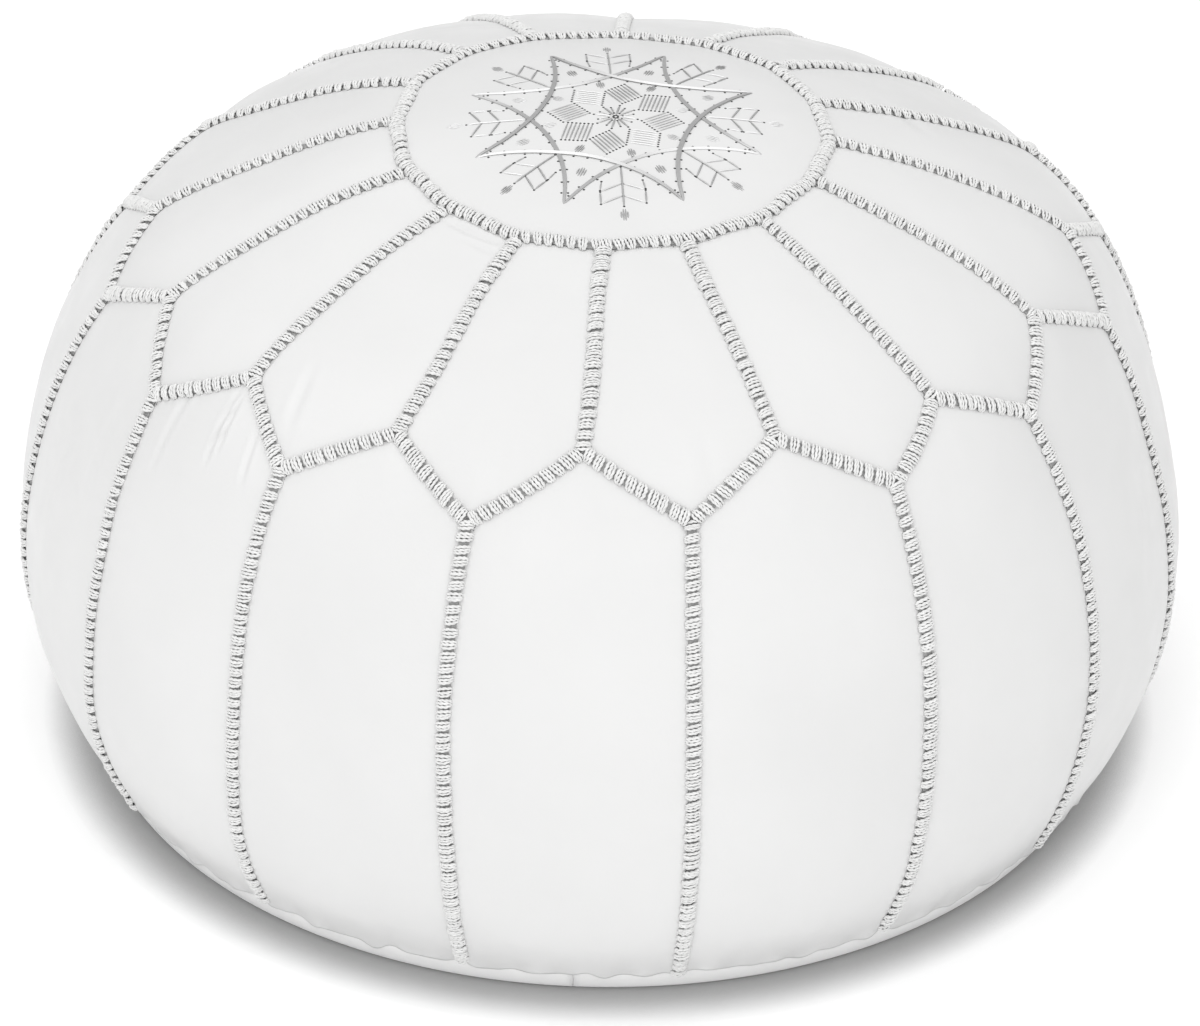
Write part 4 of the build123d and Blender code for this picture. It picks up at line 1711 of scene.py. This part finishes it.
    def threads(self) -> bpy.types.Object:
        """Makes all the silk threads as one piece.

        Returns:
            The new object.
        """
        shell = Shell()
        painted_sheen_share: list[float] = []
        sides = 7
        angle = np.linspace(0, 2 * math.pi, sides, endpoint=False)
        for path, radius, lift in self.lines:
            ground, normal = self.ground(path)
            t = np.linspace(0, 1, len(path))
            arch = np.minimum(1.0, np.minimum(t, 1 - t) * len(path) / 1.6)
            height = (radius * 0.72 + lift * np.sin(math.pi * t) ** 0.5) * arch - 0.25 * (1 - arch)
            centre = ground + normal * (height * MM)[:, None]
            heading = unit(np.gradient(centre, axis=0))
            across = unit(np.cross(heading, normal))
            upward = np.cross(across, heading)
            thick = radius * MM * (0.75 + 0.25 * arch)[None, :, None]
            shell.add(*many_tubes(centre[None], across[None], upward[None],
                                  thick * np.cos(angle), 0.85 * thick * np.sin(angle)))
            # Painted sheen share: how far each thread runs along X.
            painted_sheen_share += [abs(float(heading[i, 0])) for i in range(len(path)) for _ in range(sides)]
            painted_sheen_share += [abs(float(heading[0, 0])), abs(float(heading[-1, 0]))]
        piece = shell.build("embroidery_threads")
        share = piece.data.attributes.new("across", "FLOAT", "POINT")
        share.data.foreach_set("value", np.array(painted_sheen_share, np.float32))
        self.wardrobe.dress(piece, Finish.SILK)
        return settle(piece, ["medallion_embroidery"], "raised silk threads")

    def painted_hole_shades(self) -> bpy.types.Object:
        """Makes the needle holes at the thread ends as small discs of painted shade.

        Returns:
            The new object.
        """
        spots = np.array(sorted({(round(x, 1), round(y, 1)) for x, y in self.holes}))
        ground, normal = self.ground(spots)
        sides = 8
        angle = np.linspace(0, 2 * math.pi, sides, endpoint=False)
        side = unit(np.cross(normal, np.array([0.0, 1.0, 0.0])))
        ahead = np.cross(side, normal)
        levels, widths = np.array([-0.30, 0.06, 0.14]) * MM, np.array([0.50, 0.60, 0.40]) * MM
        wall = (ground[:, None, None] + normal[:, None, None] * levels[None, :, None, None]
                + side[:, None, None] * (widths[:, None] * np.cos(angle))[None, :, :, None]
                + ahead[:, None, None] * (widths[:, None] * np.sin(angle))[None, :, :, None])
        caps = ground[:, None] + normal[:, None] * levels[[0, -1]][None, :, None]
        points = np.concatenate([wall.reshape(len(spots), -1, 3), caps], axis=1)
        quads, triangles = tube_faces(3, sides)
        step = (np.arange(len(spots)) * points.shape[1])[:, None, None]
        shell = Shell()
        shell.add(points, (quads[None] + step).reshape(-1, 4), (triangles[None] + step).reshape(-1, 3))
        piece = shell.build("painted_hole_shades")
        self.wardrobe.dress(piece, Finish.HOLE_SHADE)
        return settle(piece, [], "needle holes")

    def build(self) -> None:
        """Makes the embroidery."""
        self.draw_pattern()
        self.threads()
        self.painted_hole_shades()


# --------------------------------------------------------------------------
# Base, lining and zip
# --------------------------------------------------------------------------
@dataclass
class Underside:
    """Leather base in two halves with the zip trough, and the bag of stuffing above it."""

    skin: Skin
    plan: SeamPlan
    wardrobe: Wardrobe
    thickness: float = 1.4 * MM
    slot_half: float = 8.0 * MM
    ledge_half: float = 19.0 * MM
    ledge_low: float = 8.0 * MM
    bend: float = 4.25 * MM
    bends_apart: float = 10 * MM
    trough_straight: float = 170.0 * MM
    seam_gap: float = 0.06 * MM
    rim_foot: float = 247.0 * MM
    rim_bend: float = 4.5 * MM
    rim_under: float = 1.6 * MM
    unevenness: float = 0.25 * MM
    bag_inset: float = 6.0 * MM
    bag_floor: float = 4.5 * MM
    bag_dent: float = 11.5 * MM
    dent_flat: float = 30 * MM
    dent_edge: float = 48 * MM

    def profile(self) -> tuple[Array, Array]:
        """Base section from the slot outwards.

        Returns:
            Distance from the trough's middle line, and height.
        """
        ledge = np.linspace(self.slot_half, self.ledge_half, 9)
        turn = math.acos(0.2)
        a = np.linspace(0, turn, 9)[1:]
        high = np.stack([self.ledge_half + self.bend * np.sin(a),
                         self.ledge_low - self.bend * (1 - np.cos(a))], axis=-1)
        wide = self.bends_apart - self.bend
        foot = self.ledge_half + self.bends_apart * math.sin(turn)
        b = np.linspace(turn, 0, 9)[1:]
        low = np.stack([foot - wide * np.sin(b), wide * (1 - np.cos(b))], axis=-1)
        near = np.concatenate([np.stack([ledge, np.full(9, self.ledge_low)], axis=-1), high, low])
        return near[:, 0], near[:, 1]

    def half(self, side: int) -> bpy.types.Object:
        """One half of the base.

        Args:
            side: -1 on -X and 1 on +X.

        Returns:
            The new object.
        """
        columns = 181
        t = np.linspace(-1, 1, columns)
        distance, height = self.profile()
        corner = 0.30
        inner_turn = np.clip((np.abs(t) - (1 - corner)) / corner, 0, 1) * (math.pi / 2)
        along = np.clip(t / (1 - corner), -1, 1) * self.trough_straight
        lean = np.sign(t)
        near = np.stack([
            np.stack([side * d * np.cos(inner_turn), along + lean * d * np.sin(inner_turn)], axis=-1)
            for d in distance])
        near_z = np.broadcast_to(height[:, None], near.shape[:2])
        sweep = t * (math.pi / 2)
        spread = np.linspace(0, 1, 34)[1:]
        circle = np.stack([side * np.cos(sweep), np.sin(sweep)], axis=-1) * self.rim_foot
        flat = near[-1][None] * (1 - spread[:, None, None]) + circle[None] * spread[:, None, None]
        bend = np.linspace(0, 0.40 * math.pi, 9)[1:]
        radius, rise = self.skin.station(np.array(self.skin.base_run - self.rim_under))[:2]
        radius = np.concatenate([self.rim_foot + self.rim_bend * np.sin(bend), np.linspace(
            self.rim_foot + self.rim_bend * math.sin(bend[-1]), radius, 9)[1:]])
        rise = np.concatenate([self.rim_bend * (1 - np.cos(bend)), np.linspace(
            self.rim_bend * (1 - math.cos(bend[-1])), rise, 9)[1:]])
        rim = circle[None] / self.rim_foot * radius[:, None, None]
        plan = np.concatenate([near, flat, rim])
        z = np.concatenate([near_z, np.zeros(flat.shape[:2]),
                            np.broadcast_to(rise[:, None], rim.shape[:2])])
        points = np.concatenate([plan, z[..., None]], axis=-1)
        keep = side * points[..., 0]
        points[..., 0] = side * np.maximum(keep, self.seam_gap)
        waves = Ripples(33, 60 * MM, 140 * MM, 8).at(points)
        ease = smoothstep(34 * MM, 70 * MM, np.abs(keep)) * (z < 1e-6)
        points[..., 2] += self.unevenness * (1 + np.clip(waves, -1, 1)) * ease
        normals = grid_normals(points)
        if normals[30, columns // 2, 2] > 0:
            normals = -normals
        inner = points - self.thickness * normals
        rows = len(points)
        shell = Shell()
        flip = side < 0
        shell.add(points, grid_faces(rows, columns, flip=flip))
        shell.add(inner, grid_faces(rows, columns, flip=not flip))
        rim_quads = LeatherCover.rim(rows, columns)
        shell.quads.append(rim_quads[:, ::-1] if flip else rim_quads)
        label = "left" if side < 0 else "right"
        piece = shell.build(f"leather_base_{label}")
        self.wardrobe.dress(piece, Finish.BASE)
        return settle(piece, [f"base_{label}"], "base half with its side of the zip trough")

    def bag(self) -> bpy.types.Object:
        """Cloth bag of stuffing inside the cover, dented over the zip trough.

        Returns:
            The new object.
        """
        rings, sectors = 60, 160
        turn = np.linspace(0, 2 * math.pi, sectors, endpoint=False)
        last = self.skin.arcs[4, 5] + self.skin.arcs[4, 2] * (self.skin.arcs[4, 3] + math.pi / 2)
        down = np.linspace(2 * MM, last - 4 * MM, rings)
        run = np.broadcast_to(down[:, None], (rings, sectors))
        turns = np.broadcast_to(turn, run.shape)
        side = self.skin.point(turns, run, np.full(run.shape, -self.bag_inset))
        shrink = np.linspace(1, 0.02, 40)[1:, None, None]
        floor = np.concatenate([side[-1, :, :2][None] * shrink,
                                np.zeros((len(shrink), sectors, 1))], axis=-1)
        reach = np.hypot(floor[..., 0],
                         np.maximum(np.abs(floor[..., 1]) - self.trough_straight, 0))
        dent = 1 - smoothstep(self.dent_flat, self.dent_edge, reach)
        floor[..., 2] = self.bag_floor + self.bag_dent * dent
        side[..., 2] = np.maximum(side[..., 2], self.bag_floor)
        points = np.concatenate([side, floor])
        rows = len(points)
        around = np.arange(sectors)
        after = (around + 1) % sectors
        top, bottom = rows * sectors, rows * sectors + 1
        base = (rows - 1) * sectors
        caps = np.concatenate([np.stack([np.full(sectors, top), around, after], axis=-1),
                               np.stack([np.full(sectors, bottom), base + after, base + around],
                                        axis=-1)])
        shell = Shell()
        shell.add(np.concatenate([points.reshape(-1, 3), [side[0].mean(0)], [floor[-1].mean(0)]]),
                  grid_faces(rows, sectors, wrap_columns=True), caps)
        piece = shell.build("stuffed_liner")
        self.wardrobe.dress(piece, Finish.LINER)
        return settle(piece, ["inner_liner", "filling"], "stuffed cloth bag")

    def build(self) -> None:
        """Makes both base halves and the stuffed bag."""
        for side in (-1, 1):
            self.half(side)
        self.bag()


@dataclass
class ZipCoils:
    """Two wound nylon coils that mesh along the middle of the base."""

    wardrobe: Wardrobe
    first: float = -173.2 * MM
    last: float = 159.0 * MM
    pitch: float = 3.0 * MM
    wire: float = 0.42 * MM
    middle_x: float = 0.9 * MM
    middle_z: float = 9.85 * MM
    reach: float = 1.7 * MM
    height: float = 0.68 * MM
    lead: float = 0.5 * MM
    steps: int = 14
    sides: int = 7

    def coil(self, side: int) -> bpy.types.Object:
        """One wound coil.

        Args:
            side: -1 on -X and 1 on +X.

        Returns:
            The new object.
        """
        turns = (self.last - self.first) / self.pitch - 1
        count = int(turns * self.steps)
        phase = np.linspace(0, 2 * math.pi * turns, count)
        shift = 0.0 if side > 0 else self.pitch / 2
        y = self.first + shift + phase / (2 * math.pi) * self.pitch + self.lead
        x = side * (self.middle_x - self.reach * np.cos(phase))
        z = self.middle_z + self.height * np.sin(phase)
        centre = np.stack([x, y, z], axis=-1)
        heading = unit(np.gradient(centre, axis=0))
        first = unit(np.cross(heading, np.array([0.0, 1.0, 0.0])))
        second = np.cross(heading, first)
        angle = np.linspace(0, 2 * math.pi, self.sides, endpoint=False)
        ring = np.broadcast_to(self.wire * np.cos(angle), (1, count, self.sides))
        rise = np.broadcast_to(self.wire * np.sin(angle), (1, count, self.sides))
        shell = Shell()
        shell.add(*many_tubes(centre[None], first[None], second[None], ring, rise))
        label = "left" if side < 0 else "right"
        piece = shell.build(f"zip_coil_{label}")
        self.wardrobe.dress(piece, Finish.TEETH)
        return settle(piece, [f"zipper_coil_{label}"], "wound nylon coil")

    def build(self) -> None:
        """Makes both coils."""
        for side in (-1, 1):
            self.coil(side)


# --------------------------------------------------------------------------
# Studio
# --------------------------------------------------------------------------
@dataclass
class Studio:
    """Pale floor, soft light and the camera."""

    azimuth: float = 2.12
    elevation: float = 30.99
    distance: float = 2.362
    target_z: float = 0.136
    lens: float = 144.96
    roll: float = 1.10
    aim_across: float = -0.00075
    aim_up: float = -0.01196
    light_place: tuple = (-0.5, -2.5, 2.1)
    light_size: float = 1.6
    light_power: float = 6.0
    bright_way: tuple = (-0.08, -0.35, 0.93)
    fade_from: tuple = (-0.45, 0.95)
    fade_to: tuple = (0.46, 1.50)
    side_share: float = 0.45

    def camera(self) -> None:
        """Sets the camera over the front seam, looking down on the top."""
        a, e = math.radians(self.azimuth), math.radians(self.elevation)
        back = Vector((math.sin(a) * math.cos(e), -math.cos(a) * math.cos(e), math.sin(e)))
        right = Vector((math.cos(a), math.sin(a), 0.0))
        up = back.cross(right)
        r = math.radians(self.roll)
        tilted_right = right * math.cos(r) + up * math.sin(r)
        tilted_up = up * math.cos(r) - right * math.sin(r)
        ahead = (-back + tilted_right * self.aim_across + tilted_up * self.aim_up).normalized()
        tilted_right = (tilted_right - ahead * tilted_right.dot(ahead)).normalized()
        tilted_up = tilted_right.cross(ahead)
        camera = bpy.data.objects.new("camera", bpy.data.cameras.new("camera"))
        camera.data.sensor_width = 36.0
        camera.data.lens = self.lens
        camera.data.clip_end = 50.0
        basis = Matrix((tilted_right, tilted_up, -ahead)).transposed().to_4x4()
        place = Vector((0, 0, self.target_z)) + back * self.distance
        camera.matrix_world = Matrix.Translation(place) @ basis
        bpy.context.scene.collection.objects.link(camera)
        bpy.context.scene.camera = camera

    @staticmethod
    def panel(name: str, place: Vector, size: float, power: float) -> None:
        """Adds a square soft light aimed at the pouf.

        Args:
            name: Name of the light.
            place: Where it stands.
            size: Length of its sides.
            power: Its power in watts.
        """
        light = bpy.data.lights.new(name, "AREA")
        light.shape = "SQUARE"
        light.size = size
        light.energy = power
        lamp = bpy.data.objects.new(name, light)
        lamp.location = place
        lamp.rotation_euler = (place - Vector((0, 0, 0.15))).to_track_quat("Z", "Y").to_euler()
        bpy.context.scene.collection.objects.link(lamp)

    def lights(self) -> None:
        """Broad front light over the camera, and a pale surround brightest up in front."""
        self.panel("front_light", Vector(self.light_place), self.light_size, self.light_power)
        world = bpy.data.worlds.new("surround")
        world.use_nodes = True
        tree = world.node_tree
        backdrop = tree.nodes["Background"]
        direction = tree.nodes.new("ShaderNodeTexCoord").outputs["Generated"]
        toward = tree.nodes.new("ShaderNodeVectorMath")
        toward.operation = "DOT_PRODUCT"
        toward.inputs[1].default_value = self.bright_way
        fade = tree.nodes.new("ShaderNodeMapRange")
        fade.interpolation_type = "SMOOTHSTEP"
        for key, value in zip(("From Min", "From Max", "To Min", "To Max"),
                              (*self.fade_from, *self.fade_to)):
            fade.inputs[key].default_value = value
        tree.links.new(direction, toward.inputs[0])
        tree.links.new(toward.outputs["Value"], fade.inputs["Value"])
        sides = tree.nodes.new("ShaderNodeSeparateXYZ")
        squared = tree.nodes.new("ShaderNodeMath")
        squared.operation = "POWER"
        squared.inputs[1].default_value = 2.0
        held_back = tree.nodes.new("ShaderNodeMapRange")
        for key, value in (("To Min", 1.0), ("To Max", self.side_share)):
            held_back.inputs[key].default_value = value
        strength = tree.nodes.new("ShaderNodeMath")
        strength.operation = "MULTIPLY"
        tree.links.new(direction, sides.inputs["Vector"])
        tree.links.new(sides.outputs["X"], squared.inputs[0])
        tree.links.new(squared.outputs["Value"], held_back.inputs["Value"])
        tree.links.new(fade.outputs["Result"], strength.inputs[0])
        tree.links.new(held_back.outputs["Result"], strength.inputs[1])
        tree.links.new(strength.outputs["Value"], backdrop.inputs["Strength"])
        backdrop.inputs["Color"].default_value = (1, 1, 1, 1)
        bpy.context.scene.world = world
        bpy.context.scene.view_settings.view_transform = "Standard"

    def floor(self) -> None:
        """Large plain pale floor with a faint even glow, and a painted contact shadow close round the
        pouf.
        """
        shell = Shell()
        size, steps = 12.0, 3
        line = np.linspace(-size, size, steps)
        x, y = np.meshgrid(line, line)
        shell.add(np.stack([x, y, np.zeros_like(x)], axis=-1), grid_faces(steps, steps, flip=True))
        floor = shell.build("floor")
        nodes = Nodes("pale_floor_painted_shadow")
        cloud = nodes.noise(0.8, 2.0)
        pale = nodes.blend(cloud, (0.955, 0.955, 0.955), (0.965, 0.965, 0.965))
        # Painted contact shadow: occlusion darkens the floor colour and its glow near the pouf.
        near = nodes.spread(nodes.openness(26 * MM), 0.40, 1.0, 0.42, 0.95)
        nodes.link(nodes.times(pale, near), nodes.shader.inputs["Base Color"])
        nodes.link(nodes.times(pale, near), nodes.shader.inputs["Emission Color"])
        nodes.set(Roughness=0.9, Specular_IOR_Level=0.0, Emission_Strength=0.05)
        floor.data.materials.append(nodes.material)

    def build(self) -> None:
        """Sets up camera, light and floor."""
        self.camera()
        self.lights()
        self.floor()


def main() -> None:
    """Builds the pouf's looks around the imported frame."""
    logging.basicConfig(level=logging.INFO, format="%(message)s")
    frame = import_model()
    nodes = frame["nodes"]
    wardrobe = Wardrobe()
    Studio().build()
    skin = Skin(Outline())
    plan = SeamPlan(skin)
    cover = LeatherCover(skin, plan, wardrobe)
    cover.build()
    CordStitching(skin, plan, wardrobe).build()
    Embroidery(skin, cover, plan, wardrobe).build()
    Underside(skin, plan, wardrobe).build()
    ZipCoils(wardrobe).build()
    wardrobe.redress(nodes, ["zipper_tape_left", "zipper_tape_right"], Finish.TAPE)
    wardrobe.redress(nodes, ["zipper_bottom_stop", "zipper_top_stops", "zipper_slider",
                             "zipper_pull_tab"], Finish.METAL)
    wardrobe.redress(nodes, ["base_seam_thread", "base_closing_seam", "zipper_stitching"],
                     Finish.SEWING)


if __name__ == "__main__":
    main()
